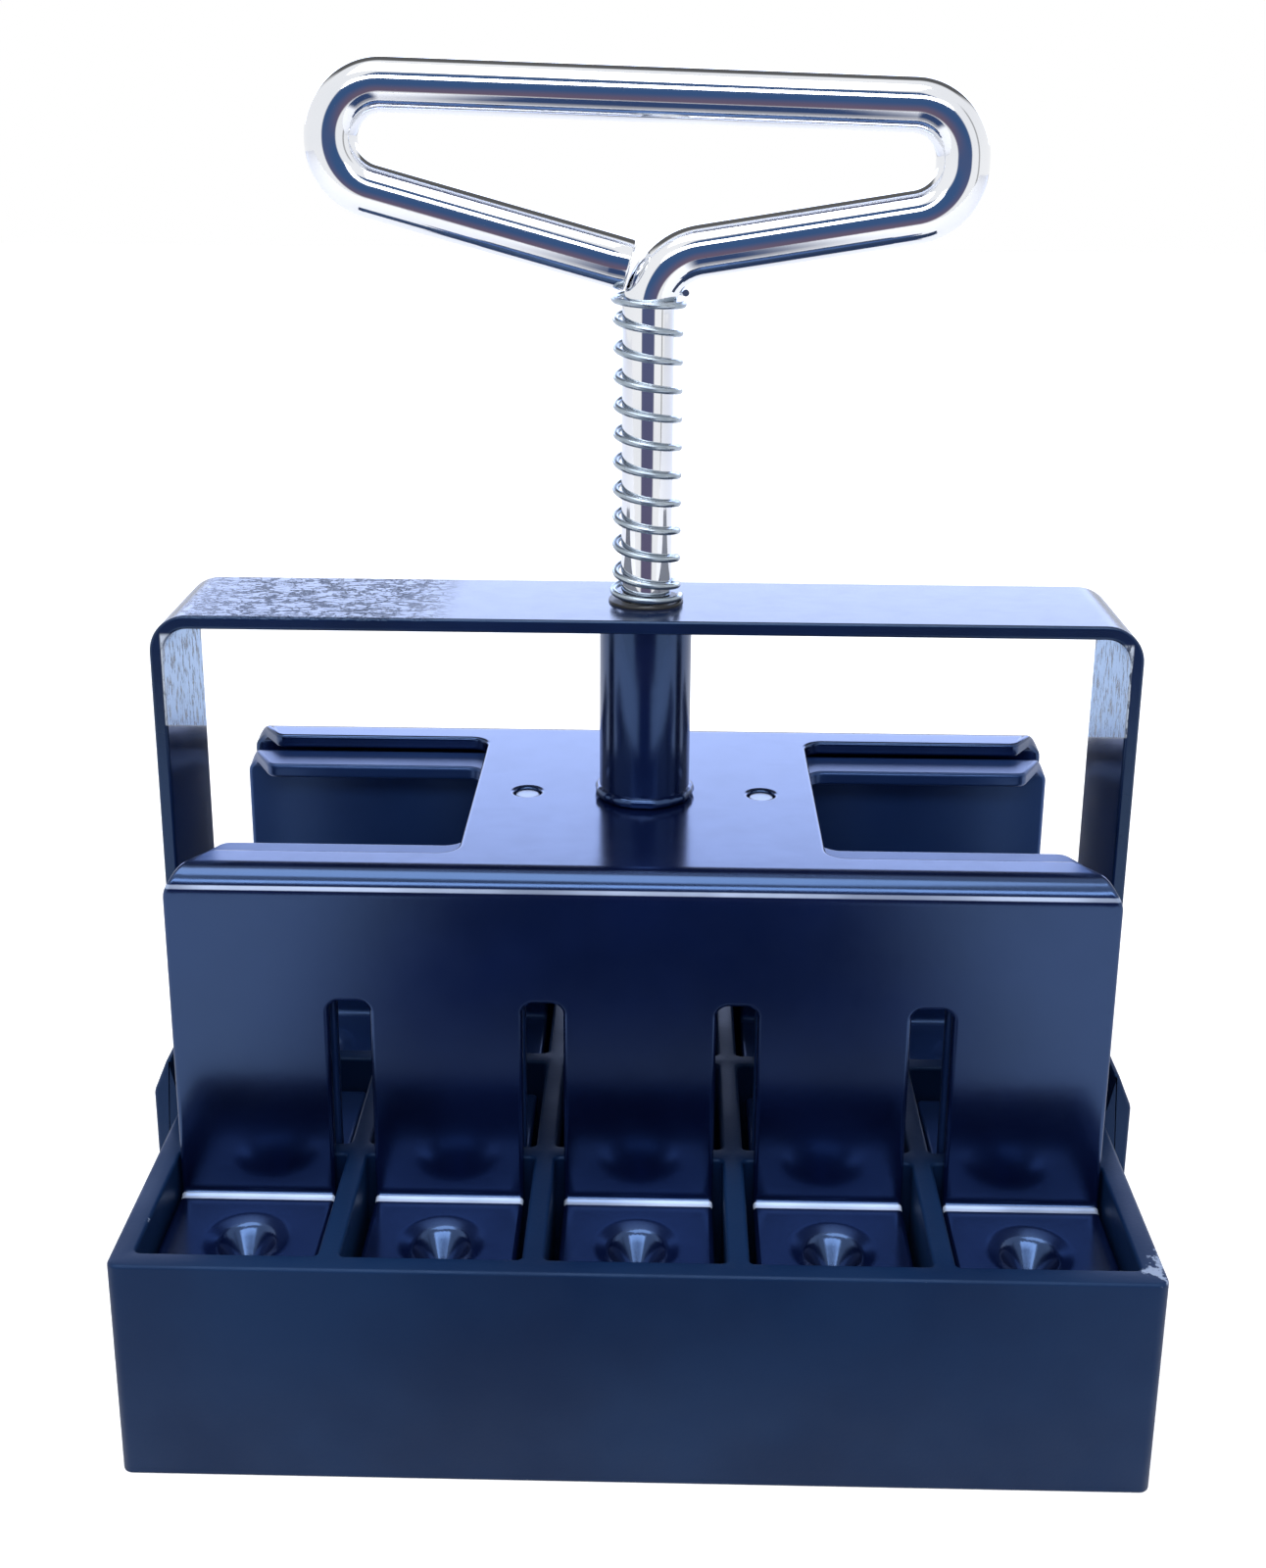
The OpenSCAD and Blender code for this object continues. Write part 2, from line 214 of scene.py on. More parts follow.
def tube_mesh(name: str, rings: Array, smooth_below: float = 40.0, close_along: bool = False) -> bpy.types.Object:
    """Skin over rings of points, whose first and last rings are closed by fans.

    Args:
        name: Name of the piece.
        rings: Points, as rings by points by three; each ring runs the same way round.
        smooth_below: Edges that turn by more than this many degrees stay sharp.
        close_along: Whether the last ring joins the first, as round a ring's section.

    Returns:
        The linked object.
    """
    count, around = rings.shape[:2]
    points = rings.reshape(-1, 3)
    if close_along:
        i, j = np.meshgrid(np.arange(count), np.arange(around), indexing="ij")
        m, k = (i + 1) % count, (j + 1) % around
        skin = np.stack([i * around + j, i * around + k, m * around + k, m * around + j], axis=-1)
        return add_mesh(name, points, [skin.reshape(-1, 4)], smooth_below)
    ends = np.stack([rings[0].mean(axis=0), rings[-1].mean(axis=0)])
    here = np.arange(around)
    after = (here + 1) % around
    first = np.stack([after, here, np.full(around, len(points))], axis=-1)
    base = (count - 1) * around
    last = np.stack([base + here, base + after, np.full(around, len(points) + 1)], axis=-1)
    skin = grid_faces(count, around, wrap=True)
    return add_mesh(name, np.concatenate([points, ends]), [skin, np.concatenate([first, last])], smooth_below)


def turned(name: str, profile: Array, closed: bool, around: int = 96,
           swell: Callable[[Array, Array], Array] | None = None) -> bpy.types.Object:
    """Surface of revolution about the rod's axis: each profile point goes once round at its radius.

    Args:
        name: Name of the piece.
        profile: Rows of radius and height, anticlockwise round the section seen with +Z up.
        closed: Whether the profile is a closed loop, as of a tube, rather than from axis to axis.
        around: Number of points in each circle.
        swell: Optional growth of the radius as a function of profile number and angle.

    Returns:
        The linked object.
    """
    angle = full_circle(around)
    radius = profile[:, 0][:, None] * np.ones(around)
    if swell is not None:
        radius = radius + swell(np.arange(len(profile))[:, None], angle[None, :])
    return tube_mesh(name, circles(radius, profile[:, 1], angle), close_along=closed)


def smooth_min(a: Array | float, b: Array | float, blend: float) -> Array:
    """Lesser of a and b, with the corner between them rounded over the length blend."""
    h = np.maximum(blend - np.abs(a - b), 0) / blend
    return np.minimum(a, b) - h * h * blend / 4


def rounded_loop(corners: Array, radii: Array, lines: Array, fine: float = 0.5, coarse: float = 5.0) -> Array:
    """Closed outline through corners that are rounded to arcs, with straights cut into short steps.

    An arc starts one lead, radius times the tangent of half the turn, before its corner.

    Args:
        corners: Corner places in order as (across, along) rows.
        radii: Radius at each corner; 0 leaves it sharp.
        lines: Places along the sheet, both signs, between which bends lie; steps are fine there.
        fine: Longest step on a straight within a bend.
        coarse: Longest step elsewhere.

    Returns:
        The outline's points, without the first repeated.
    """
    leg = np.roll(corners, -1, axis=0) - corners
    way = leg / np.hypot(leg[:, 0], leg[:, 1])[:, None]
    back = np.roll(way, 1, axis=0)
    turn = np.arctan2(back[:, 0] * way[:, 1] - back[:, 1] * way[:, 0], (back * way).sum(axis=1))
    lead = radii * np.tan(np.abs(turn) / 2)
    parts = []
    for k, corner in enumerate(corners):
        side = np.sign(turn[k]) * np.array([-back[k, 1], back[k, 0]])
        count = max(2, math.ceil(abs(turn[k]) / 0.2) + 1) if radii[k] > 0 else 1
        angle = np.linspace(0, abs(turn[k]), count)
        start = corner - back[k] * lead[k]
        arc = start + radii[k] * (side * (1 - np.cos(angle))[:, None] + back[k] * np.sin(angle)[:, None])
        after = (k + 1) % len(corners)
        last = corners[after] - way[k] * lead[after]
        span = last - arc[-1]
        cuts = (lines - arc[-1, 1]) / span[1] if abs(span[1]) > 1e-6 else np.zeros(0)
        cuts = np.concatenate([[0.0], np.sort(cuts[(cuts > 1e-3) & (cuts < 1 - 1e-3)]), [1.0]])
        middle = arc[-1, 1] + (cuts[1:] + cuts[:-1]) / 2 * span[1]
        bent = (np.searchsorted(lines, middle) % 2) == 1
        steps = np.ceil(np.diff(cuts) * np.hypot(*span) / np.where(bent, fine, coarse)).astype(int)
        run = ruled(list(cuts), list(np.diff(cuts) / np.maximum(steps, 1)))
        parts += [arc, (arc[-1] + run[:, None] * span)[1:-1]]
    found = np.concatenate(parts)
    gap = np.hypot(*(np.roll(found, -1, axis=0) - found).T)
    return found[gap > 1e-4]


def circle(across: float, along: float, radius: float, count: int = 48) -> Array:
    """Outline of a hole, run clockwise so that the sheet lies to its left."""
    angle = -full_circle(count)
    return np.array([across, along]) + radius * np.stack([np.cos(angle), np.sin(angle)], axis=-1)


def rings_of_points(across: float, along: float, radii: Array, count: int = 40) -> Array:
    """A middle point and circles of points round it, each turned half a step from the last.

    Args:
        across: Place of the middle across the sheet.
        along: Its place along the sheet.
        radii: Radius of each circle.
        count: Number of points in each circle.

    Returns:
        The points, one row each.
    """
    angle = (np.arange(count)[None, :] + 0.5 * (np.arange(len(radii)) % 2)[:, None]) * 2 * math.pi / count
    ring = radii[:, None, None] * np.stack([np.cos(angle), np.sin(angle)], axis=-1)
    return np.concatenate([[[across, along]], (np.array([across, along]) + ring).reshape(-1, 2)])


def within(points: Array, starts: Array, ends: Array, gap: float) -> Array:
    """Whether points lie inside the outlines, by the count of crossings to their right, and clear of them.

    Args:
        points: Places to test, one row each.
        starts: Start of each edge of the outlines.
        ends: End of each edge.
        gap: Least distance from every edge.

    Returns:
        One truth value for each point.
    """
    keep = []
    span = ends - starts
    for part in np.array_split(points, max(1, len(points) // 400)):
        rel = part[:, None, :] - starts[None]
        share = np.clip((rel * span).sum(axis=2) / (span * span).sum(axis=1), 0, 1)
        far = np.hypot(*np.moveaxis(rel - share[..., None] * span, 2, 0)).min(axis=1)
        above = (starts[None, :, 1] > part[:, None, 1]) != (ends[None, :, 1] > part[:, None, 1])
        rise = np.where(np.abs(span[:, 1]) > 1e-9, span[:, 1], 1e-9)
        right = part[:, None, 0] < starts[:, 0] + rel[..., 1] * span[:, 0] / rise
        keep.append((far > gap) & ((above & right).sum(axis=1) % 2 == 1))
    return np.concatenate(keep)


@dataclass(frozen=True)
class Blank:
    """A flat sheet with rounded edges: rows of (across, along, height off its middle), and faces."""

    points: Array
    quads: Array
    triangles: Array


def cut_blank(loops: list[Array], inner: Array, thickness: float, edge: float) -> Blank:
    """Closes a sheet between its two faces, with every outline's edge rounded by quarter circles.

    The edge's rows follow the outline moved inwards along its mitre, by the edge radius less its
    sine at each angle. A flat row inside them keeps the faces' own normals undisturbed. Each face
    is the Delaunay triangulation of that flat row and the inner points.

    Args:
        loops: Outlines, each with the sheet to its left.
        inner: Further points of the faces, where the sheet bends or has relief.
        thickness: Thickness of the sheet.
        edge: Radius of its edges.

    Returns:
        The closed sheet.
    """
    half = thickness / 2
    turn = np.linspace(0, math.pi / 2, 4)
    upper = [(edge + 0.14, half)] + [(edge * (1 - math.sin(a)), half - edge * (1 - math.cos(a))) for a in turn]
    upper.append((0.0, half - edge - 0.1))
    rows = np.array(upper + [(inset, -height) for inset, height in upper[::-1]])
    numbers, mitres = [], []
    for loop in loops:
        way = np.roll(loop, -1, axis=0) - loop
        way /= np.hypot(way[:, 0], way[:, 1])[:, None]
        left = np.stack([-way[:, 1], way[:, 0]], axis=-1)
        before = np.roll(left, 1, axis=0)
        mitres.append((left + before) / (1 + (left * before).sum(axis=1))[:, None])
        start = sum(len(n) for n in numbers)
        numbers.append(start + np.arange(len(loop)))
    outline, mitre = np.concatenate(loops), np.concatenate(mitres)
    count = len(outline)
    after = np.concatenate([np.roll(n, -1) for n in numbers])
    flat = outline[None] + rows[:, 0, None, None] * mitre[None]
    wall = np.concatenate([flat, np.broadcast_to(rows[:, 1, None, None], (len(rows), count, 1))], axis=2)
    inner = inner[within(inner, flat[0], flat[0][after], 0.3)]
    edges = np.stack([np.arange(count), after], axis=-1)
    seeds = np.concatenate([flat[0], inner])
    result = delaunay_2d_cdt(seeds.tolist(), edges.tolist(), [], 0, 1e-6, True)
    faces = np.array(result[3])[:, 0][np.array(result[2])]
    keep = (faces >= count).any(axis=1)
    keep[~keep] = within(seeds[faces[~keep]].mean(axis=1), flat[0], flat[0][after], 0.0)
    faces = faces[keep]
    here, last = np.arange(count), (len(rows) - 1) * count
    base = len(rows) * count
    low = np.where(faces < count, faces + last, faces + base - count + len(inner))
    high = np.where(faces < count, faces, faces + base - count)
    step = np.arange(len(rows) - 1)[:, None] * count
    quads = np.stack([step + here, step + count + here, step + count + after, step + after], axis=-1).reshape(-1, 4)
    tops = [np.column_stack([inner, np.full(len(inner), height)]) for height in (half, -half)]
    return Blank(np.concatenate([wall.reshape(-1, 3)] + tops), quads, np.concatenate([high, low[:, ::-1]]))


@dataclass(frozen=True)
class Bending:
    """Half of an evenly bent sheet, drawn from its middle outwards: straights with quarter bends between."""

    top: float
    straights: tuple[float, ...]
    turns: tuple[int, ...]
    radius: float
    thickness: float

    @property
    def arc(self) -> float:
        """Length of a quarter bend on the sheet's middle line."""
        return (self.radius - self.thickness / 2) * math.pi / 2

    @property
    def stops(self) -> list[float]:
        """Developed distances at which straights and bends meet.

        Returns:
            The distances, from 0 to the sheet's end.
        """
        found = [0.0, self.straights[0]]
        for straight in self.straights[1:]:
            found += [found[-1] + self.arc, found[-1] + self.arc + straight]
        return found

    def fold(self, along: Array) -> tuple[Array, Array, Array, Array]:
        """Bends developed distances up into the half section and its mirror image.

        The middle line's place is the sum of each straight's run along its heading and, for each
        bend, radius times (sine, 1 - cosine) of the angle turned so far, turned to the heading.

        Args:
            along: Signed developed distances from the sheet's middle.

        Returns:
            Outward place and height of the middle line, and the two parts of the unit normal.
        """
        left = np.abs(along)
        heading = np.zeros_like(left)
        out = np.zeros_like(left)
        height = np.full_like(left, self.top - self.thickness / 2)
        middle = self.radius - self.thickness / 2
        for number, straight in enumerate(self.straights):
            last = number == len(self.straights) - 1
            run = np.maximum(left, 0) if last else np.clip(left, 0, straight)
            out += run * np.cos(heading)
            height += run * np.sin(heading)
            left = left - straight
            if not last:
                turn = self.turns[number]
                angle = np.clip(left / self.arc, 0, 1) * math.pi / 2
                ahead, aside = middle * np.sin(angle), turn * middle * (1 - np.cos(angle))
                out += ahead * np.cos(heading) - aside * np.sin(heading)
                height += ahead * np.sin(heading) + aside * np.cos(heading)
                heading = heading + turn * angle
                left = left - self.arc
        flip = np.where(along < 0, -1.0, 1.0)
        return out * flip, height, -np.sin(heading) * flip, np.cos(heading)


# ---- finishes ----------------------------------------------------------------------


def linear(code: str) -> tuple[float, float, float, float]:
    """Linear colour of an sRGB hex code such as "#22304a", with full opacity."""
    parts = [int(code[i : i + 2], 16) / 255 for i in (1, 3, 5)]
    return tuple(p / 12.92 if p <= 0.04045 else ((p + 0.055) / 1.055) ** 2.4 for p in parts) + (1.0,)


WHITE = linear("#ffffff")


class Node(Enum):
    """Kinds of node in use: Blender's type, its inputs in the order they are given, its result, its settings."""

    PLACE = ("TexCoord", (), "Object", {})
    HEADING = ("TexCoord", (), "Generated", {})
    CAMERA_RAY = ("LightPath", (), "Is Camera Ray", {})
    PARTS = ("SeparateXYZ", (0,), slice(3), {})
    SPOT = ("CombineXYZ", (0, 1, 2), 0, {})
    GREY = ("CombineColor", (0, 1, 2), 0, {})
    STRETCH = ("Mapping", (0, 3), 0, {"vector_type": "POINT"})
    FAR = ("VectorMath", (0, 1), 1, {"operation": "DISTANCE"})
    NOISE = ("TexNoise", ("Vector", "Scale", "Detail", "Roughness"), 0, {})
    RINGS = ("TexWave", ("Vector", "Scale"), 0, {"wave_type": "RINGS", "rings_direction": "Z"})
    RAMP = ("MapRange", ("Value", "From Min", "From Max", "To Min", "To Max"), 0, {"interpolation_type": "SMOOTHSTEP"})
    TINT = ("Mix", (0, 6, 7), 2, {"data_type": "RGBA"})
    BUMP = ("Bump", ("Height", "Distance", "Strength", "Normal"), 0, {})
    PLUS = ("Math", (0, 1), 0, {"operation": "ADD"})
    MINUS = ("Math", (0, 1), 0, {"operation": "SUBTRACT"})
    TIMES = ("Math", (0, 1), 0, {"operation": "MULTIPLY"})
    OVER = ("Math", (0, 1), 0, {"operation": "DIVIDE"})
    TIMES_PLUS = ("Math", (0, 1, 2), 0, {"operation": "MULTIPLY_ADD"})
    GREATER = ("Math", (0, 1), 0, {"operation": "MAXIMUM"})
    UNSIGNED = ("Math", (0,), 0, {"operation": "ABSOLUTE"})
    ROOT = ("Math", (0,), 0, {"operation": "SQRT"})
    RISE = ("Math", (0,), 0, {"operation": "ARCSINE"})
    ANGLE = ("Math", (0, 1), 0, {"operation": "ARCTAN2"})
    PRINCIPLED = ("BsdfPrincipled", (), 0, {})
    DIFFUSE = ("BsdfDiffuse", ("Color",), 0, {})
    GLOW = ("Emission", ("Color", "Strength"), 0, {})
    BACKGROUND = ("Background", ("Color", "Strength"), 0, {})
    BOTH = ("AddShader", (0, 1), 0, {})
    EITHER = ("MixShader", (0, 1, 2), 0, {})
    SURFACE = ("OutputMaterial", ("Surface",), None, {})
    SKY = ("OutputWorld", ("Surface",), None, {})


def add(tree: bpy.types.NodeTree, kind: Node, *inputs: Any, **named: Any) -> Any:
    """Adds one node to a tree, with its settings and links.

    Args:
        tree: The node tree.
        kind: The kind of node.
        inputs: Values or sockets for its inputs, in the kind's order.
        named: Further values or sockets, by the input's name.

    Returns:
        The socket of its result, a list of them for the parts of a place, or None for an output.
    """
    name, order, result, settings = kind.value
    node = tree.nodes.new("ShaderNode" + name)
    for key, value in settings.items():
        setattr(node, key, value)
    for key, value in [*zip(order, inputs), *named.items()]:
        if isinstance(value, bpy.types.NodeSocket):
            tree.links.new(value, node.inputs[key])
        else:
            node.inputs[key].default_value = value
    return None if result is None else node.outputs[result]


def region(tree: bpy.types.NodeTree, *bounds: tuple[bpy.types.NodeSocket, float, float]) -> bpy.types.NodeSocket:
    """Share of a region with soft bounds: the product of one smooth step for each bound.

    Args:
        tree: The node tree.
        bounds: For each, a place in metres, and the millimetres at which its step starts and is full.

    Returns:
        The share, 1 inside and 0 outside.
    """
    steps = [add(tree, Node.RAMP, place, start * MM, full * MM) for place, start, full in bounds]
    return reduce(lambda first, second: add(tree, Node.TIMES, first, second), steps)


def start_material(name: str) -> tuple[bpy.types.Material, bpy.types.NodeTree, bpy.types.NodeSocket]:
    """Makes an empty material.

    Args:
        name: Its name.

    Returns:
        The material, its tree, and the piece's own Object coordinates in metres.
    """
    material = bpy.data.materials.new(name)
    material.use_nodes = True
    material.node_tree.nodes.clear()
    return material, material.node_tree, add(material.node_tree, Node.PLACE)


@dataclass(frozen=True)
class Finish:
    """What all finishes share: a name, and one Principled shader."""

    name: str

    def look(self, tree: bpy.types.NodeTree, place: bpy.types.NodeSocket) -> dict[str, Any]:
        """What the shader's inputs are given; every finish has its own.

        Args:
            tree: The node tree.
            place: Object coordinates.

        Returns:
            Values and sockets by the input's name.
        """
        raise NotImplementedError

    def build(self) -> bpy.types.Material:
        """Makes the material.

        Returns:
            The material.
        """
        material, tree, place = start_material(self.name)
        add(tree, Node.SURFACE, add(tree, Node.PRINCIPLED, **self.look(tree, place)))
        return material


@dataclass(frozen=True)
class MouldedPolymer(Finish):
    """Glass-filled polyamide, injection moulded: satin, with a fine cast grain and rubbed corners."""

    name: str = "moulded_polyamide"
    colour: str = "#051838"
    pale: str = "#0a2244"
    rubbed: str = "#8391ab"
    sheen: str = "#9fc6ff"
    grain: float = 0.45
    roughness: float = 0.46

    def look(self, tree: bpy.types.NodeTree, place: bpy.types.NodeSocket) -> dict[str, Any]:
        """Two close blues in broad clouds, a cast grain, and pale marks where the block was knocked.

        Args:
            tree: The node tree.
            place: Object coordinates.

        Returns:
            Values and sockets by the input's name.
        """
        x, y, z = add(tree, Node.PARTS, place)
        cloud = add(tree, Node.RAMP, add(tree, Node.NOISE, place, PER_MM / 26.0, 3.0), 0.3, 0.7)
        colour = add(tree, Node.TINT, cloud, linear(self.colour), linear(self.pale))
        # Marks sit on the top edges. The right front corner is knocked most: noise needs less there to show.
        chips = add(tree, Node.NOISE, place, PER_MM / 3.2, 4.0, 0.7)
        eased = add(tree, Node.TIMES_PLUS, region(tree, (x, 46, 55), (y, -36, -43)), 0.16, chips)
        at_top = region(tree, (z, LEVELS.block_top - 0.5, LEVELS.block_top - 0.1))
        marks = add(tree, Node.TIMES, at_top, add(tree, Node.RAMP, eased, 0.7, 0.76))
        colour = add(tree, Node.TINT, marks, colour, linear(self.rubbed))
        rough = add(tree, Node.RAMP, add(tree, Node.NOISE, place, PER_MM / 9.0, 3.0), 0.3, 0.7,
                    self.roughness - 0.05, self.roughness + 0.08)
        normal = add(tree, Node.BUMP, add(tree, Node.NOISE, place, PER_MM / self.grain), 0.012 * MM, 1.0)
        return {"Base Color": colour, "Roughness": rough, "Normal": normal, "IOR": 1.5,
                "Specular IOR Level": 0.42, "Specular Tint": linear(self.sheen)}


@dataclass(frozen=True)
class CoatedSteel(Finish):
    """Sheet steel under a midnight-blue satin lacquer: nearly black head on, pale blue at a glance."""

    colour: str = "#03071e"
    thin: str = "#060e2c"
    sheen: str = "#8fb8ff"
    roughness: float = 0.17
    gloss: float = 1.0
    scuffed_with_painted_reflection: bool = False
    # Pale colour of the bare patch inside the hoop's corners, partly painted reflection of the backdrop
    bare: str = "#dfe9f5"
    # Pale colour of the painted highlights on bends and folds and of the painted reflection on weld tops
    highlight_paint: str = "#bccbe6"

    def wear_and_painted_reflection(self, tree: bpy.types.NodeTree, place: bpy.types.NodeSocket) -> tuple[Any, Any]:
        """Scratches on the hoop's top left, and a pale brushed bare patch inside its corners that is partly painted
        reflection.

        Args:
            tree: The node tree.
            place: Object coordinates.

        Returns:
            Share of scratch, and share of the pale bare patch, part bare metal and part painted reflection.
        """
        x, y, z = add(tree, Node.PARTS, place)
        side = add(tree, Node.UNSIGNED, x)
        # Scratches are the lines where a noise crosses its middle; they run long with the bar
        long = add(tree, Node.STRETCH, place, (0.5, 1.0, 1.0))
        lines = []
        for size in (2.6, 1.1):
            off = add(tree, Node.MINUS, add(tree, Node.NOISE, long, PER_MM / size, 3.0, 0.6), 0.5)
            lines.append(add(tree, Node.RAMP, add(tree, Node.UNSIGNED, off), 0.006, 0.03, 1.0, 0.0))
        top = region(tree, (z, LEVELS.strap_top - 0.3, LEVELS.strap_top - 0.1), (x, -21, -31))
        top = add(tree, Node.TIMES, top, add(tree, Node.RAMP, x, -56 * MM, -44 * MM, 0.25, 1.0))
        # The pale bare patch, partly painted reflection of the backdrop, ends on a slant, lower towards the back
        slant = add(tree, Node.TIMES_PLUS, y, 0.355, z)
        inside = region(tree, (side, 56.3, 56.1), (side, 51.5, 52.2), (slant, 71.1, 71.4), (z, 85.8, 85.2))
        upright = add(tree, Node.STRETCH, place, (1.0, 1.0, 0.3))
        brushed = add(tree, Node.RAMP, add(tree, Node.NOISE, upright, PER_MM / 0.8, 3.0, 0.7), 0.38, 0.5, 0.1, 1.0)
        scratches = add(tree, Node.GREATER, *lines)
        return add(tree, Node.TIMES, top, scratches), add(tree, Node.TIMES, inside, brushed)

    def painted_highlights(self, tree: bpy.types.NodeTree, place: bpy.types.NodeSocket) -> bpy.types.NodeSocket:
        """Painted highlights: pale lines on the upper bends and in the feet's folds, where light catches them,
        and painted reflection on the tops of the two plug welds, dressed flat and seen through the upper sheet's holes.

        Args:
            tree: The node tree.
            place: Object coordinates.

        Returns:
            Share of polished surface.
        """
        x, y, z = add(tree, Node.PARTS, place)
        side = add(tree, Node.UNSIGNED, y)
        # Painted highlight: pale lines along the bends' crowns and in the feet's folds
        crown = region(tree, (z, 60.85, 61.0), (z, 61.45, 61.3), (side, 24.8, 24.9))
        fold = region(tree, (z, 21.9, 22.0), (z, 22.65, 22.5), (side, 25.5, 25.62), (side, 26.35, 26.2))
        uneven = add(tree, Node.RAMP, add(tree, Node.NOISE, place, PER_MM / 22.0, 3.0), 0.35, 0.6, 0.45, 1.0)
        line = add(tree, Node.TIMES, add(tree, Node.GREATER, crown, fold), uneven)
        # Painted reflection: the weld tops are painted pale where they show through the holes
        spot = add(tree, Node.SPOT, add(tree, Node.UNSIGNED, x), y)
        radius = add(tree, Node.FAR, spot, (LEVELS.weld_x * MM, 0.0, 0.0))
        weld = region(tree, (radius, 1.63, 1.58), (z, 62.3, 62.6), (z, 63.0, 62.95))
        return add(tree, Node.GREATER, line, weld)

    def look(self, tree: bpy.types.NodeTree, place: bpy.types.NodeSocket) -> dict[str, Any]:
        """A lacquer that clouds where it is thin, with orange peel; the hoop adds scratches and a pale patch that is
        partly painted reflection, the other pieces painted highlights on their bends and welds.

        Args:
            tree: The node tree.
            place: Object coordinates.

        Returns:
            Values and sockets by the input's name.
        """
        cloud = add(tree, Node.RAMP, add(tree, Node.NOISE, place, PER_MM / 14.0, 3.0), 0.3, 0.7)
        colour = add(tree, Node.TINT, cloud, linear(self.colour), linear(self.thin))
        # Orange peel of a dipped lacquer, about a millimetre and a half across
        normal = add(tree, Node.BUMP, add(tree, Node.NOISE, place, PER_MM / 1.6, 1.0), 0.004 * MM, 1.0)
        rough = add(tree, Node.RAMP, add(tree, Node.NOISE, place, PER_MM / 4.0, 4.0, 0.6), 0.3, 0.75,
                    self.roughness, self.roughness + 0.03)
        look = {"IOR": 1.65, "Specular IOR Level": self.gloss, "Specular Tint": linear(self.sheen)}
        if self.scuffed_with_painted_reflection:
            scratches, bare_patch_and_reflection = self.wear_and_painted_reflection(tree, place)
            # Pale bare patch inside the corners: part bare metal, part painted reflection of the backdrop
            colour = add(tree, Node.TINT, bare_patch_and_reflection, colour, linear(self.bare))
            rough = add(tree, Node.TIMES_PLUS, bare_patch_and_reflection, 0.22, rough)
            rough = add(tree, Node.TIMES_PLUS, scratches, 0.3, rough)
            normal = add(tree, Node.BUMP, bare_patch_and_reflection, -0.02 * MM, 0.6, normal)
            normal = add(tree, Node.BUMP, scratches, -0.06 * MM, 1.0, normal)
            look["Metallic"] = bare_patch_and_reflection
        else:
            # Painted highlights on the bends and folds, and painted reflection on the weld tops
            colour = add(tree, Node.TINT, self.painted_highlights(tree, place), colour, linear(self.highlight_paint))
        return {"Base Color": colour, "Roughness": rough, "Normal": normal, **look}


@dataclass(frozen=True)
class BrightMetal(Finish):
    """Plated steel: mirror chrome, or duller zinc with a faint spangle, by its numbers."""

    colour: str
    shade: str
    roughness: float
    patch: float
    relief: float

    def look(self, tree: bpy.types.NodeTree, place: bpy.types.NodeSocket) -> dict[str, Any]:
        """Patches that differ a little in tone and polish, and a relief a quarter of their size.

        Args:
            tree: The node tree.
            place: Object coordinates.

        Returns:
            Values and sockets by the input's name.
        """
        patches = add(tree, Node.NOISE, place, PER_MM / self.patch, 3.0)
        share = add(tree, Node.RAMP, patches, 0.35, 0.65)
        rough = add(tree, Node.RAMP, patches, 0.35, 0.65, self.roughness * 0.8, self.roughness * 1.3)
        fine = add(tree, Node.NOISE, place, PER_MM / (self.patch / 4), 2.0)
        return {"Base Color": add(tree, Node.TINT, share, linear(self.colour), linear(self.shade)), "Metallic": 1.0,
                "Roughness": rough, "Normal": add(tree, Node.BUMP, fine, self.relief * MM, 1.0)}


@dataclass(frozen=True)
class BlackNylon(Finish):
    """Turned black nylon: soft satin with faint turning rings."""

    name: str = "turned_nylon"
    colour: str = "#0d0f14"

    def look(self, tree: bpy.types.NodeTree, place: bpy.types.NodeSocket) -> dict[str, Any]:
        """One black, and the rings that the turning tool left.

        Args:
            tree: The node tree.
            place: Object coordinates.

        Returns:
            Values and sockets by the input's name.
        """
        rings = add(tree, Node.RINGS, place, PER_MM / 1.2)
        return {"Base Color": linear(self.colour), "Roughness": 0.38,
                "Normal": add(tree, Node.BUMP, rings, 0.004 * MM, 1.0)}


# ---- pieces ------------------------------------------------------------------------


class Piece:
    """What all pieces share: the CAD node a piece stands for, its body, its slot and its finish."""

    node: str
    body: Body
    slot: str

    def surface(self) -> bpy.types.Object:
        """The piece's bare mesh; every piece makes its own."""
        raise NotImplementedError

    def build(self, material: bpy.types.Material) -> bpy.types.Object:
        """Makes the mesh, gives it its finish and body, and hides the CAD node behind it.

        Args:
            material: The finish.

        Returns:
            The finished piece.
        """
        piece = self.surface()
        piece.data.materials.append(material)
        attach(piece, self.body.value)
        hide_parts(self.node)
        LOG.info("%s: %d faces for %s", piece.name, len(piece.data.polygons), self.node)
        return piece


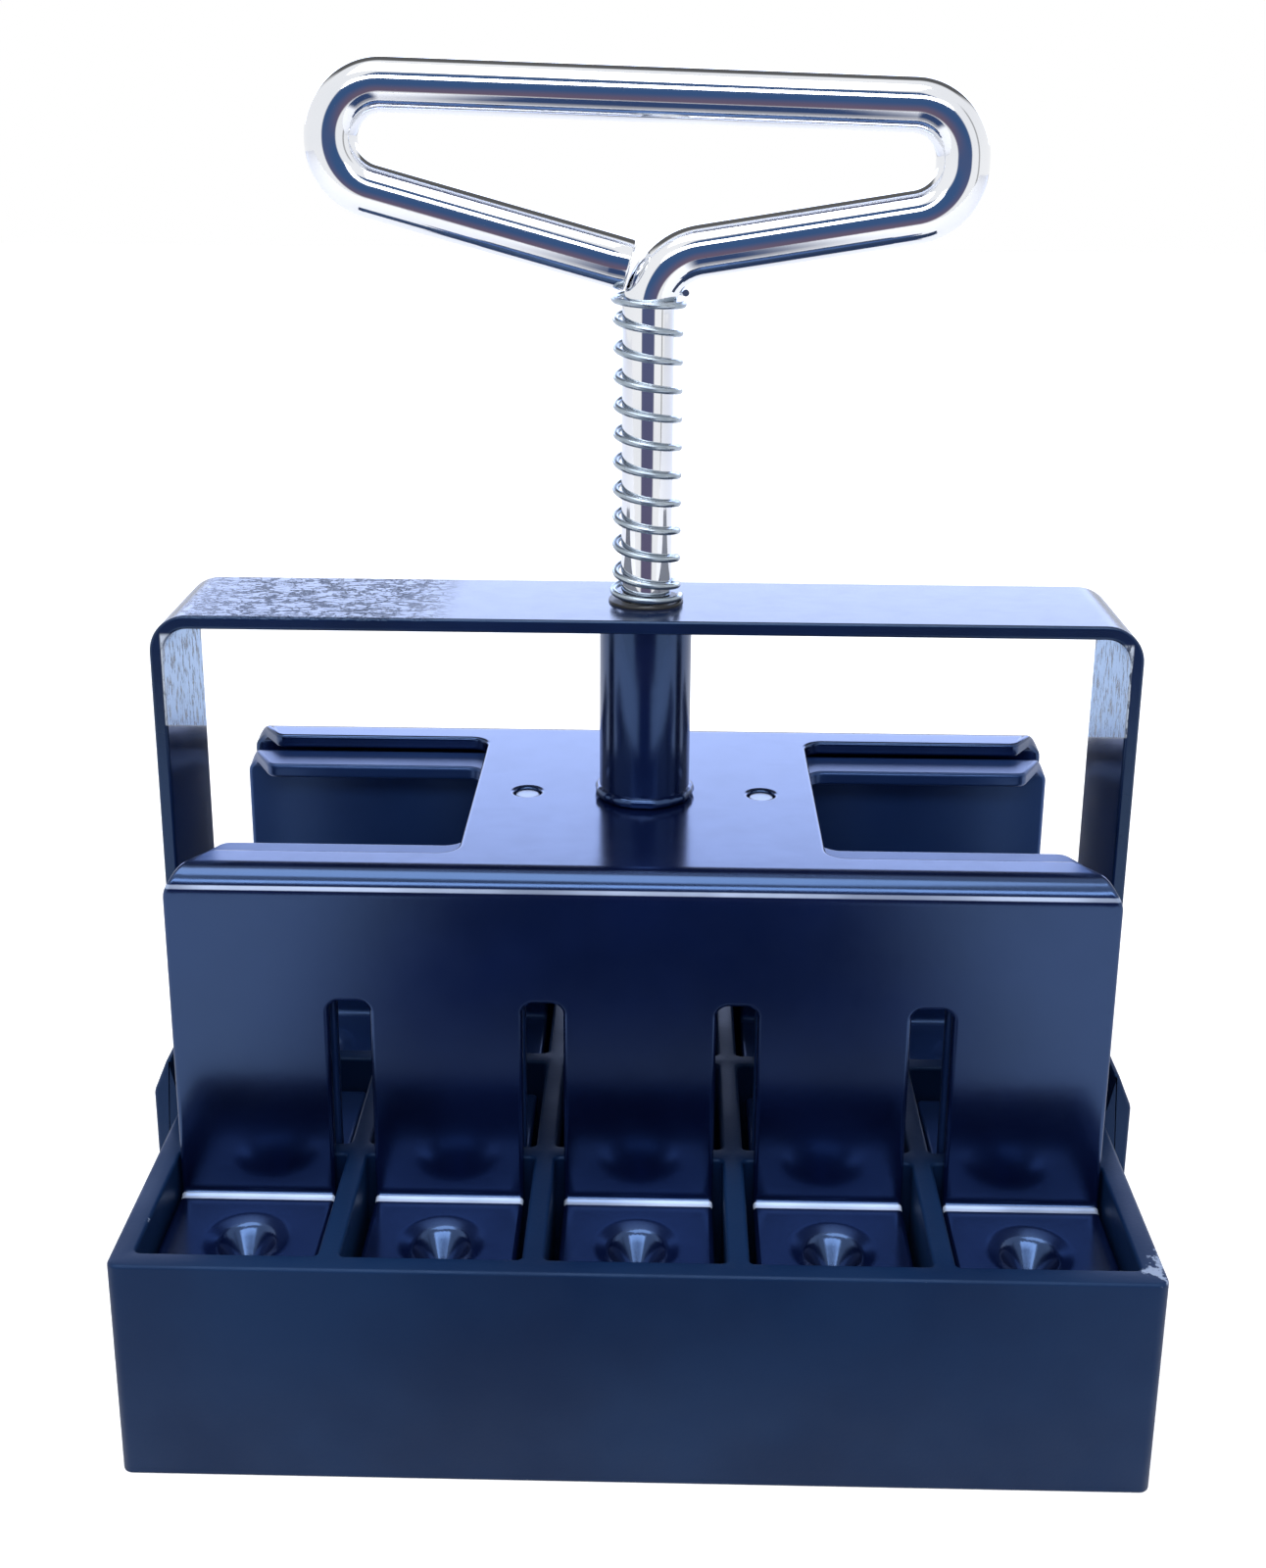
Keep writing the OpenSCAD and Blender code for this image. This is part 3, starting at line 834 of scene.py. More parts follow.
@dataclass
class CellBlock(Piece):
    """The moulded block: one pocket's surface repeated over the grid, an outer wall, and two lugs."""

    inner_half_x: float = 55.0
    inner_half_y: float = 44.0
    half_x: float = 56.4
    half_y: float = 45.4
    corner_r: float = 1.2
    pocket_top: float = 9.8
    pocket_rim: float = 10.2
    pocket_r: float = 0.6
    top_r: float = 0.4
    rim_r: float = 0.25
    lug_out: float = 60.1
    lug_half: float = 11.5
    lug_r: float = 0.45
    lug_sunk: float = 0.25
    leg_out: float = 57.6
    gusset: float = 5.4
    same_point: float = 0.008
    corner_points: int = 9
    node: str = "cell_block"
    body: Body = Body.FRAME
    slot: str = "moulded_block"

    def eases(self) -> list[tuple[float, float, float]]:
        """The rounded edges of the walls: the inset is the radius times one less the sine of the angle
        turned on top, and one less its cosine at the rim; the height goes the other way about.

        Returns:
            Half width of the pocket, inset of the edge and height for each row, from the top down.
        """
        turn = np.linspace(0, math.pi / 2, 5)
        top = [(self.pocket_top, self.top_r * (1 - math.sin(a)), LEVELS.block_top - self.top_r * (1 - math.cos(a)))
               for a in turn]
        return top + [(self.pocket_rim, self.rim_r * (1 - math.cos(a)), self.rim_r * (1 - math.sin(a))) for a in turn]

    def square(self, half: float, radius: float) -> Array:
        """Plane square with round corners, anticlockwise: one side and its corner, turned four times.

        Args:
            half: Half its width.
            radius: Radius of its corners.

        Returns:
            Its points as (x, y) rows.
        """
        flat = np.array([-0.82, -0.4, 0.0, 0.4, 0.82])
        arc = np.linspace(0, math.pi / 2, 7)
        straight = np.stack([np.full(len(flat), half), flat * (half - radius)], axis=-1)
        corner = half - radius + radius * np.stack([np.cos(arc), np.sin(arc)], axis=-1)
        side = np.concatenate([straight, corner])
        turns = [np.array([[c, -n], [n, c]]) for c, n in ((1, 0), (0, 1), (-1, 0), (0, -1))]
        return np.concatenate([side @ turn.T for turn in turns])

    def pocket(self) -> Array:
        """Rings of one pocket, from its share of the top face down the wall to its share of the rim.

        Its outermost rings are the mouth's points pushed out, along the longer of their two
        distances, onto the square that neighbouring pockets share.

        Returns:
            Points, as rings by points by three, about the pocket's own axis.
        """
        mouth = self.square(self.pocket_top + self.top_r, self.pocket_r + self.top_r)
        shared = mouth * LEVELS.pitch / 2 / np.abs(mouth).max(axis=1, keepdims=True)
        rows = [at_height(self.square(half + inset, self.pocket_r + inset), z) for half, inset, z in self.eases()]
        return np.stack([at_height(shared, LEVELS.block_top), *rows, at_height(shared, 0.0)])

    def outer_wall(self, edge: Array) -> Array:
        """Rings of the outer wall, from the pockets' shared outline on top, out, down and back in.

        Args:
            edge: Points of that outline in order, its corners among them, as rows of (x, y).

        Returns:
            Points, as rings by points by three; a corner point stands in its ring several times.
        """
        hx, hy = self.inner_half_x, self.inner_half_y
        corner = (np.abs(np.abs(edge[:, 0]) - hx) < NEAR) & (np.abs(np.abs(edge[:, 1]) - hy) < NEAR)
        times = np.where(corner, self.corner_points, 1)
        inner = np.repeat(edge, times, axis=0)
        start = np.repeat(np.cumsum(times) - times, times)
        step = (np.arange(len(inner)) - start) / (self.corner_points - 1)
        first = np.floor(np.arctan2(inner[:, 1], inner[:, 0]) / (math.pi / 2)) * math.pi / 2
        angle = first + step * math.pi / 2
        _, inset, height = (column[:, None] for column in np.array(self.eases()).T)
        radius = self.corner_r - inset * 0.8
        out_x, out_y = self.half_x - inset, self.half_y - inset
        way_x, way_y = np.sign(inner).T
        on_x = np.abs(np.abs(inner[:, 0]) - hx) < NEAR
        flat_x = np.clip(inner[:, 0], self.corner_r - self.half_x, self.half_x - self.corner_r)
        flat_y = np.clip(inner[:, 1], self.corner_r - self.half_y, self.half_y - self.corner_r)
        round_x = way_x * (out_x - radius) + radius * np.cos(angle)
        round_y = way_y * (out_y - radius) + radius * np.sin(angle)
        at_corner = np.repeat(corner, times)
        x = np.where(at_corner, round_x, np.where(on_x, way_x * out_x, flat_x))
        y = np.where(at_corner, round_y, np.where(on_x, flat_y, way_y * out_y))
        rings = np.stack([x, y, height * np.ones(len(inner))], axis=-1)
        return np.concatenate([at_height(inner, LEVELS.block_top)[None], rings, at_height(inner, 0.0)[None]])

    def lug(self, side: int) -> Array:
        """Corners of a lug on an end wall: a section with a gusset, at its front and again at its back.

        Args:
            side: 1 for the right end and -1 for the left.

        Returns:
            Points, those of the front section first.
        """
        top, inside = LEVELS.block_top, self.half_x - self.lug_sunk
        section = np.array([[inside, 0.0], [self.lug_out, 0.0], [self.lug_out, top + 0.8],
                            [self.leg_out + 0.6, top + self.gusset], [self.leg_out, top + self.gusset],
                            [self.leg_out, top], [inside, top]])
        return np.concatenate([np.column_stack([side * section[:, 0], np.full(len(section), y), section[:, 1]])
                               for y in (-self.lug_half, self.lug_half)])

    def add_lug(self, work: bmesh.types.BMesh, side: int) -> None:
        """Adds one closed lug with rounded edges.

        Args:
            work: The mesh that it is added to.
            side: 1 for the right end and -1 for the left.
        """
        corners = [work.verts.new(tuple(corner * MM)) for corner in self.lug(side)]
        front, back = corners[: len(corners) // 2], corners[len(corners) // 2 :]
        faces = [work.faces.new(front), work.faces.new(back[::-1])]
        faces += [work.faces.new([a, c, d, b]) for a, b, c, d in zip(front, front[1:] + front[:1],
                                                                     back, back[1:] + back[:1])]
        edges = list(dict.fromkeys(edge for face in faces for edge in face.edges))
        bmesh.ops.bevel(work, geom=edges, offset=self.lug_r * MM, segments=3, profile=0.5, affect="EDGES")

    def surface(self) -> bpy.types.Object:
        """Lays pockets and outer wall together, merges their shared points, and adds the lugs.

        Returns:
            The linked object.
        """
        pocket = self.pocket()
        rings, around = pocket.shape[:2]
        last_i, last_j = LEVELS.columns - 1, LEVELS.rows - 1
        shifts = LEVELS.pitch * np.array([[i - last_i / 2, j - last_j / 2, 0.0]
                                          for i in range(LEVELS.columns) for j in range(LEVELS.rows)])
        pockets = pocket[None] + shifts[:, None, None, :]
        firsts = np.arange(len(shifts)) * rings * around
        pocket_faces = (grid_faces(rings, around, wrap=True)[None] + firsts[:, None, None]).reshape(-1, 4)
        rim = pockets[:, 0].reshape(-1, 3)[:, :2]
        halves = np.array([self.inner_half_x, self.inner_half_y])
        edge = np.unique(np.round(rim[(np.abs(np.abs(rim) - halves) < NEAR).any(axis=1)], 6), axis=0)
        scaled = edge / halves
        wall = self.outer_wall(edge[np.argsort(np.arctan2(scaled[:, 1], scaled[:, 0]))])
        points = np.concatenate([pockets.reshape(-1, 3), wall.reshape(-1, 3)])
        wall_faces = grid_faces(*wall.shape[:2], wrap=True) + pockets.size // 3
        piece = add_mesh("moulded_cells", points, [pocket_faces, wall_faces])
        work = bmesh.new()
        work.from_mesh(piece.data)
        bmesh.ops.remove_doubles(work, verts=work.verts, dist=self.same_point * MM)
        for side in (-1, 1):
            self.add_lug(work, side)
        bmesh.ops.recalc_face_normals(work, faces=work.faces)
        work.to_mesh(piece.data)
        work.free()
        shade(piece.data, 35.0)
        return piece


@dataclass
class Ejector(Piece):
    """One bent, slotted and pierced sheet with a row of pressed dimples in each of its two feet."""

    name: str
    node: str
    slot: str
    face: float
    top: float
    foot_tip: float
    side: int
    pierced: bool
    body: Body = Body.PLUNGER
    half_width: float = 53.35
    radius: float = 2.8
    slot_half: float = 2.35
    slot_r: float = 1.4
    web_half: float = 21.0
    flange: float = 6.2
    corner_cut: float = 4.15
    cutout_r: float = 2.4
    hole_r: float = 1.65
    bore_r: float = 2.6
    dimple_r: float = 4.8
    dimple_depth: float = 4.6
    cone_r: float = 3.35
    weld_r: float = 1.6
    weld_rise: float = 1.44
    edge: float = 0.42
    dimple_rings: tuple[float, ...] = (0.12, 0.25, 0.5, 0.9, 1.4, 2.0, 2.6, 3.0, 3.2, 3.33, 3.46, 3.7, 4.1, 4.45,
                                       4.65, 4.8, 4.95, 5.3)
    weld_rings: tuple[float, ...] = (0.6, 1.1, 1.3, 1.42, 1.5, 1.56, 1.62, 1.8)

    @property
    def bending(self) -> Bending:
        """The half section: web or flange, skirt, and foot.

        Returns:
            The bent half sheet.
        """
        r = self.radius
        pivot = self.face - LEVELS.sheet + r if self.side > 0 else self.face - r
        return Bending(self.top, (self.face - r, self.top - LEVELS.foot_under - 2 * r, abs(self.foot_tip - pivot)),
                       (-1, self.side), r, LEVELS.sheet)

    @property
    def foot_middle(self) -> float:
        """Depth of the dimples' centres."""
        return (self.face - (0 if self.side > 0 else LEVELS.sheet) + self.foot_tip) / 2

    def outline(self) -> Array:
        """The flat blank's outline: one quarter is drawn and mirrored, with its notches' corners rounded.

        Returns:
            Points as (across, along) rows.
        """
        a, wide, soft = self.bending.stops, self.half_width, 0.7
        slot_from = a[2] + (self.top - self.radius - LEVELS.slot_top)
        half = self.face - self.flange
        corners = [(self.web_half, 0.0, 0.0), (self.web_half, half, self.cutout_r), (wide - self.corner_cut, half, 1.6),
                   (wide, a[2], 2.2), (wide, a[-1], soft)]
        for k in (1.5, 0.5):
            wall = k * LEVELS.pitch
            corners += [(wall + self.slot_half, a[-1], soft), (wall + self.slot_half, slot_from, self.slot_r),
                        (wall - self.slot_half, slot_from, self.slot_r), (wall - self.slot_half, a[-1], soft)]
        quarter = np.array(corners)
        mirrored = quarter[::-1] * [-1, 1, 1]
        upper = np.concatenate([quarter, mirrored[:-1]])
        whole = np.concatenate([upper, [[-self.web_half, 0.0, 0.0]], (upper * [-1, -1, 1])[1:]])
        lines = np.array(a[1:5])
        return rounded_loop(whole[:, :2], whole[:, 2], np.sort(np.concatenate([-lines, lines])))

    def dimple(self, x: Array, y: Array, upper: bool) -> Array:
        """Depth of the pressed dimples: a sharp cone in a shallow dished rim above, a blunter one below.

        Args:
            x: Places across.
            y: Places in depth.
            upper: Whether the sheet's upper face is meant.

        Returns:
            Depths, 0 away from the dimples.
        """
        x_off = np.mod(x + LEVELS.pitch / 2, LEVELS.pitch) - LEVELS.pitch / 2
        radius = np.hypot(x_off, np.abs(y) - self.foot_middle)
        if upper:
            rim = (self.dimple_r - radius) * 0.36
            cone = 0.45 + (self.cone_r - radius) * (self.dimple_depth + 0.4) / self.cone_r
            depth = smooth_min(-smooth_min(-rim, -cone, 0.25), self.dimple_depth + 0.75, 0.5)
        else:
            depth = smooth_min((self.dimple_r - radius) * self.dimple_depth / 3.3, self.dimple_depth, 1.6)
        return -smooth_min(-depth, 0.0, 0.12 if upper else 0.8)

    def faces_points(self) -> Array:
        """Points of the sheet's faces: rows along every bend, rings in the dimples and at the welds.

        Returns:
            Points as (across, along) rows.
        """
        a, wide = self.bending.stops, self.half_width
        rows = np.concatenate([ruled([low - 0.35, low, high, high + 0.35], [0.35, 0.45, 0.35])
                               for low, high in ((a[1], a[2]), (a[3], a[4]))])
        across = np.linspace(-wide, wide, 96)
        x, s = np.meshgrid(across, np.concatenate([-rows, rows]), indexing="ij")
        parts = [np.stack([x.ravel(), s.ravel()], axis=-1)]
        foot = a[4] + abs(self.foot_middle - (self.face + self.side * self.radius
                                              - (LEVELS.sheet if self.side > 0 else 0)))
        parts += [rings_of_points((k - 2) * LEVELS.pitch, side * foot, np.array(self.dimple_rings))
                  for k in range(LEVELS.columns) for side in (-1, 1)]
        parts += [rings_of_points(side * LEVELS.weld_x, 0.0, np.array(self.weld_rings), 32) for side in (-1, 1)]
        return np.concatenate(parts)

    def surface(self) -> bpy.types.Object:
        """Cuts the blank, bends it, presses the dimples, and raises the plug welds on the lower sheet.

        Returns:
            The linked object.
        """
        loops = [self.outline(), circle(0.0, 0.0, self.bore_r)]
        if self.pierced:
            loops += [circle(side * LEVELS.weld_x, 0.0, self.hole_r) for side in (-1, 1)]
        blank = cut_blank(loops, self.faces_points(), LEVELS.sheet, self.edge)
        x, s, off = blank.points.T
        y, z, normal_y, normal_z = self.bending.fold(s)
        points = np.stack([x, y + off * normal_y, z + off * normal_z], axis=-1)
        above, below = (self.dimple(x, points[:, 1], upper) for upper in (True, False))
        depth = np.where(points[:, 2] > LEVELS.foot_under + LEVELS.sheet / 2, above, below)
        points[:, 2] -= np.where(np.abs(s) >= self.bending.stops[4], depth, 0)
        if not self.pierced:
            radius = np.hypot(np.abs(x) - LEVELS.weld_x, s)
            weld = smooth_min(self.weld_rise, np.maximum(self.weld_r - radius, 0) * 12, 0.25)
            points[:, 2] += np.where(off > 0, weld, 0)
        return add_mesh(self.name, points, [blank.quads, blank.triangles], 75.0)


@dataclass
class StrapHoop(Piece):
    """Flat bar bent into a hoop, with the bush's hole in its top."""

    half_width: float = 9.0
    thickness: float = 1.6
    radius: float = 4.5
    reach: float = 57.6
    leg_foot: float = 6.5
    hole_r: float = 4.1
    edge: float = 0.3
    node: str = "frame_strap"
    body: Body = Body.FRAME
    slot: str = "coated_strap"

    def surface(self) -> bpy.types.Object:
        """Cuts the flat bar with its hole and bends its two legs down.

        Returns:
            The linked object.
        """
        bend = Bending(LEVELS.strap_top, (self.reach - self.radius, LEVELS.strap_top - self.radius - self.leg_foot),
                       (-1,), self.radius, self.thickness)
        a, wide = bend.stops, self.half_width
        corners = np.array([(wide, -a[3]), (wide, a[3]), (-wide, a[3]), (-wide, -a[3])])
        lines = np.array([-a[2], -a[1], a[1], a[2]])
        loops = [rounded_loop(corners, np.full(4, 1.0), lines), circle(0.0, 0.0, self.hole_r)]
        rows = ruled([a[1] - 0.5, a[1], a[2], a[2] + 0.5], [0.5, 0.4, 0.5])
        x, s = np.meshgrid(np.linspace(-wide, wide, 13), np.concatenate([-rows, rows]), indexing="ij")
        blank = cut_blank(loops, np.stack([x.ravel(), s.ravel()], axis=-1), self.thickness, self.edge)
        across, along, off = blank.points.T
        x, z, normal_x, normal_z = bend.fold(along)
        points = np.stack([x + off * normal_x, -across, z + off * normal_z], axis=-1)
        return add_mesh("strap_hoop", points, [blank.quads, blank.triangles], 75.0)


@dataclass
class SpacerTube(Piece):
    """Drawn tube with rounded mouths, and a bead of weld round its foot."""

    radius: float = 5.5
    wall: float = 1.5
    bead: float = 0.7
    mouth_r: float = 0.35
    node: str = "spacer_tube"
    body: Body = Body.PLUNGER
    slot: str = "coated_tube"

    def surface(self) -> bpy.types.Object:
        """Turns the section; the bead's radius swells and shrinks by hundredths, as a weld does.

        Returns:
            The linked object.
        """
        low, high = LEVELS.outer_top, LEVELS.strap_under
        bore, soft = self.radius - self.wall, self.mouth_r
        corner = np.linspace(0, math.pi / 2, 6)
        bow = np.linspace(-math.pi / 2, math.pi / 2, 13)
        bead = np.stack([self.radius + self.bead * np.cos(bow) - 0.02,
                         low + self.bead + self.bead * np.sin(bow)], axis=-1)
        mouth = np.stack([self.radius - soft + soft * np.cos(corner), high - soft + soft * np.sin(corner)], axis=-1)
        inside = np.stack([bore + soft - soft * np.sin(corner), high - soft + soft * np.cos(corner)], axis=-1)
        profile = np.concatenate([[[bore, low], [self.radius, low]], bead,
                                  [[self.radius, low + 1.7], [self.radius, high - 8]], mouth, inside])
        number = np.arange(len(profile))
        weld = (number > 2) & (number < len(bead) + 1)

        def swell(number: Array, angle: Array) -> Array:
            """Ripples of the weld: three sines of the angle, on the bead's points alone."""
            waves = 0.05 * np.sin(9 * angle + 1) + 0.04 * np.sin(17 * angle) + 0.03 * np.sin(31 * angle + 2)
            return np.where(weld[number], waves - 0.12, 0.0)

        return turned("spacer_sleeve", profile, closed=True, swell=swell)


@dataclass
class GuideBush(Piece):
    """Flanged bush, pushed into the strap from above."""

    flange_r: float = 4.45
    barrel_r: float = 4.1
    bore_r: float = 3.05
    flange_t: float = 0.35
    flange_soft: float = 0.17
    node: str = "guide_bush"
    body: Body = Body.FRAME
    slot: str = "bush_nylon"

    def surface(self) -> bpy.types.Object:
        """Turns the section with a rounded flange edge.

        Returns:
            The linked object.
        """
        low, mid, high = LEVELS.strap_under, LEVELS.strap_top, LEVELS.strap_top + self.flange_t
        soft = self.flange_soft
        arc = np.linspace(0, math.pi / 2, 6)
        rim = np.stack([self.flange_r - soft + soft * np.cos(arc), high - soft + soft * np.sin(arc)], axis=-1)
        under = [[self.bore_r, low], [self.barrel_r, low], [self.barrel_r, mid], [self.flange_r, mid]]
        profile = np.concatenate([under, rim, [[self.bore_r + 0.15, high], [self.bore_r, high - 0.15]]])
        return turned("flanged_bush", profile, closed=True)


@dataclass
class ChromedBar(Piece):
    """One round bar: thread, shoulder, rod, neck bend and long loop, with a cut and eased free end."""

    radius: float = 3.0
    thread_r: float = 2.5
    thread_pitch: float = 0.8
    thread_depth: float = 0.42
    thread_end: float = 53.35
    neck_r: float = 7.0
    loop_r: float = 5.8
    reach_right: float = 34.9
    reach_left: float = 35.7
    loop_h: float = 23.9
    right_slope: float = 9.3
    left_slope: float = 15.3
    top_slope: float = 1.7
    arm_end: float = 2.1
    arm_end_h: float = 5.2
    around: int = 48
    node: str = "handle_rod"
    body: Body = Body.PLUNGER
    slot: str = "chromed_bar"

    def corners(self) -> tuple[Array, Array]:
        """Corners of the bar's centre line, and the bend radius at each inner one. The loop's radius is the
        wanted one, or what its ends leave room for: their height over the sum of both bends' leads.

        Returns:
            Rows of (x, z), and the radii.
        """
        def lead(turn: float) -> float:
            """Straight that a bend of radius 1 takes up before its corner, by its turn in degrees."""
            return math.tan(math.radians(turn / 2))

        def rise(run: float, slope: float) -> float:
            """Rise of a run at a slope in degrees."""
            return run * math.tan(math.radians(slope))

        neck = LEVELS.neck + self.neck_r * lead(90 - self.right_slope)
        right_low = neck + rise(self.reach_right, self.right_slope)
        right_high = LEVELS.neck + self.loop_h - rise(self.reach_right, self.top_slope)
        left_high = LEVELS.neck + self.loop_h + rise(self.reach_left, self.top_slope)
        left_low = LEVELS.neck + self.arm_end_h + rise(self.reach_left - self.arm_end, self.left_slope)
        right_room = (right_high - right_low - 0.1) / (lead(90 - self.right_slope) + lead(90 - self.top_slope))
        left_room = (left_high - left_low - 0.1) / (lead(90 - self.left_slope) + lead(90 + self.top_slope))
        loop = min(self.loop_r, right_room, left_room)
        path = np.array([[0, LEVELS.outer_top], [0, neck], [self.reach_right, right_low],
                         [self.reach_right, right_high], [-self.reach_left, left_high],
                         [-self.reach_left, left_low], [-self.arm_end, LEVELS.neck + self.arm_end_h]], float)
        return path, np.array([self.neck_r, loop, loop, loop, loop])

    def centre_line(self) -> tuple[Array, Array]:
        """Points on the centre line and the heading there: straights at long steps, and every bend
        as an arc about a centre that lies one radius to the side of the heading.

        Returns:
            Rows of (x, z), and headings in radians.
        """
        path, radii = self.corners()
        leg = np.diff(path, axis=0)
        heading = np.unwrap(np.arctan2(leg[:, 1], leg[:, 0]))
        turn = np.diff(heading)
        lead = radii * np.tan(np.abs(turn) / 2)
        places, ways = [], []
        length = np.hypot(leg[:, 0], leg[:, 1])
        before = np.concatenate([[0.0], lead])
        after = np.concatenate([lead, [0.0]])
        for k, way in enumerate(heading):
            unit = np.array([math.cos(way), math.sin(way)])
            run = np.linspace(before[k], length[k] - after[k], 14)
            places.append(path[k] + run[:, None] * unit)
            ways.append(np.full(14, way))
            if k < len(radii):
                side = np.sign(turn[k])
                start = places[-1][-1]
                centre = start + side * radii[k] * np.array([-unit[1], unit[0]])
                angle = way + turn[k] * np.linspace(0, 1, 26)[1:-1]
                places.append(centre + side * radii[k] * np.stack([np.sin(angle), -np.cos(angle)], axis=-1))
                ways.append(angle)
        return np.concatenate(places), np.concatenate(ways)

    def surface(self) -> bpy.types.Object:
        """Carries a circle along the centre line; the thread is a circle whose radius falls and
        rises with height less turn, and both ends are eased by shrinking circles.

        Returns:
            The linked object.
        """
        angle = full_circle(self.around)
        places, ways = self.centre_line()
        ease = np.array([[0.0, 1.0], [0.12, 0.985], [0.22, 0.955], [0.3, 0.9]])
        tip = np.array([math.cos(ways[-1]), math.sin(ways[-1])])
        places = np.concatenate([places[:-1], places[-1] + (ease[:, :1] - ease[-1, 0]) * tip])
        size = np.concatenate([np.full(len(ways) - 1, self.radius), ease[:, 1] * self.radius])
        ways = np.concatenate([ways[:-1], np.full(len(ease), ways[-1])])
        flat = np.zeros(len(ways))
        side = np.stack([-np.sin(ways), flat, np.cos(ways)], axis=-1)
        middle = np.stack([places[:, 0], flat, places[:, 1]], axis=-1)
        bar = carried(middle, side, np.array([0.0, -1.0, 0.0]), size, self.around)
        height = np.linspace(self.thread_end, LEVELS.outer_top - 0.35, 120)
        phase = height[:, None] / self.thread_pitch - angle / (2 * math.pi)
        tooth = np.abs(2 * (phase - np.floor(phase)) - 1)
        depth = self.thread_depth * (1 - np.clip(1.25 * tooth, 0, 1))
        blunt = 0.35 * (1 - np.clip((height - self.thread_end) / 0.5, 0, 1))[:, None]
        thread = circles(depth + blunt - self.thread_r, height, angle)
        shoulder = circles(np.array([-self.thread_r, 0.3 - self.radius]),
                           np.array([LEVELS.outer_top - 0.01, LEVELS.outer_top]), angle)
        return tube_mesh("chromed_bar", np.concatenate([thread, shoulder, bar]), 32.0)


@dataclass
class ReturnSpring(Piece):
    """Open coil spring of round wire, wound left-handed, with one closed turn at each end."""

    length: float = 36.5
    flare: float = 0.4
    top_share: float = 0.9
    neck_r: float = 7.0
    wire: float = 0.8
    gap: float = 0.25
    rod: float = 6.0
    turns: int = 12
    per_turn: int = 48
    closed_rise: float = 1.3
    travel: float = 20.0
    node: str = "return_spring"
    body: Body = Body.FRAME
    slot: str = "spring_steel"

    def surface(self) -> bpy.types.Object:
        """Carries the wire's circle along a helix: the angle grows evenly, and the height grows by
        the closed turns' rise at both ends and by the open rise between. The end turns flare out,
        and above the neck the helix's axis follows the bar's bend.

        Returns:
            The linked object.
        """
        t = np.arange(self.turns * self.per_turn + 1) / self.per_turn
        left = self.turns - t
        wound = self.length - self.wire
        open_rise = (wound - 2 * self.closed_rise) / (self.turns - 2)
        rise = np.where(t < 1, self.closed_rise * t, self.closed_rise + open_rise * (t - 1))
        rise = np.where(left < 1, wound - self.closed_rise * left, rise)
        grown = np.clip(1.2 - t, 0, 1) + self.top_share * np.clip(1.8 - left, 0, 1)
        mean = self.rod / 2 + self.gap + self.wire / 2 + self.flare * grown
        over = np.clip(LEVELS.spring_foot + rise - LEVELS.neck, 0, None) / self.neck_r
        lean = self.neck_r * (1 - np.cos(np.arcsin(over)))
        turn = 2 * math.pi * t
        flat = np.zeros_like(turn)
        out = np.stack([np.cos(turn), -np.sin(turn), flat], axis=-1)
        axis = np.stack([lean, flat, LEVELS.spring_foot + self.wire / 2 + rise], axis=-1)
        rings = carried(mean[:, None] * out + axis, out, np.array([0, 0, 1.0]), np.full(len(t), self.wire / 2), 12)
        return tube_mesh("coil_spring", rings, 50.0)

    def build(self, material: bpy.types.Material) -> bpy.types.Object:
        """Finishes the spring as any piece, and gives it a mesh of its own.

        Args:
            material: The finish.

        Returns:
            The finished spring.
        """
        piece = super().build(material)
        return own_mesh(piece)


@dataclass
class RodWasher(Piece):
    """Plain washer under the lower ejector."""

    radius: float = 6.0
    bore_r: float = 2.6
    thickness: float = 1.0
    node: str = "rod_washer"
    body: Body = Body.PLUNGER
    slot: str = "zinc_fastener"

    def surface(self) -> bpy.types.Object:
        """Turns a flat ring with eased edges.

        Returns:
            The linked object.
        """
        high = LEVELS.inner_top - LEVELS.sheet
        low, soft = high - self.thickness, 0.15
        profile = np.array([[self.bore_r, low + soft], [self.bore_r + soft, low], [self.radius - soft, low],
                            [self.radius, low + soft], [self.radius, high - soft], [self.radius - soft, high],
                            [self.bore_r + soft, high], [self.bore_r, high - soft]])
        return turned("plain_washer", profile, closed=True, around=64)


@dataclass
class RodNut(Piece):
    """Hexagon nut with turned chamfers."""

    height: float = 4.0
    flats: float = 8.0
    past: float = 9.0
    washer: float = 1.0
    bore_r: float = 2.6
    node: str = "rod_nut"
    body: Body = Body.PLUNGER
    slot: str = "zinc_fastener"

    def surface(self) -> bpy.types.Object:
        """Each circle's radius is the lesser of the hexagon's, half the flats over the cosine of the
        angle from the nearest flat's middle, and the chamfer's cone at that height.

        Returns:
            The linked object.
        """
        angle = full_circle(96)
        flat = self.flats / 2
        hexagon = flat / np.cos(np.mod(angle + math.pi / 6, math.pi / 3) - math.pi / 6)
        high = LEVELS.inner_top - LEVELS.sheet - self.washer
        low = high - self.height
        section = np.array([(self.bore_r, low + 0.3), (self.bore_r + 0.3, low), (flat - 0.2, low), (flat, low + 0.12),
                            (self.past, low + 0.5), (self.past, high - 0.5), (flat, high - 0.12), (flat - 0.2, high),
                            (self.bore_r + 0.3, high), (self.bore_r, high - 0.3)])
        radius = np.minimum(hexagon, section[:, :1])
        return tube_mesh("hexagon_nut", circles(radius, section[:, 1], angle), 28.0, close_along=True)


# ---- stage, light and camera -------------------------------------------------------


def stand(name: str, data: Any, axes: list[Array], place: Any) -> bpy.types.Object:
    """Puts a lamp or a camera into the scene.

    Args:
        name: Its name.
        data: The lamp's or camera's own data.
        axes: Directions of its right, its up and its back.
        place: Where it stands, in metres.

    Returns:
        The linked object.
    """
    holder = bpy.data.objects.new(name, data)
    bpy.context.scene.collection.objects.link(holder)
    turn = np.eye(4)
    turn[:3, :3] = np.stack(axes, axis=-1)
    turn[:3, 3] = place
    holder.matrix_world = Matrix(turn.tolist())
    return holder


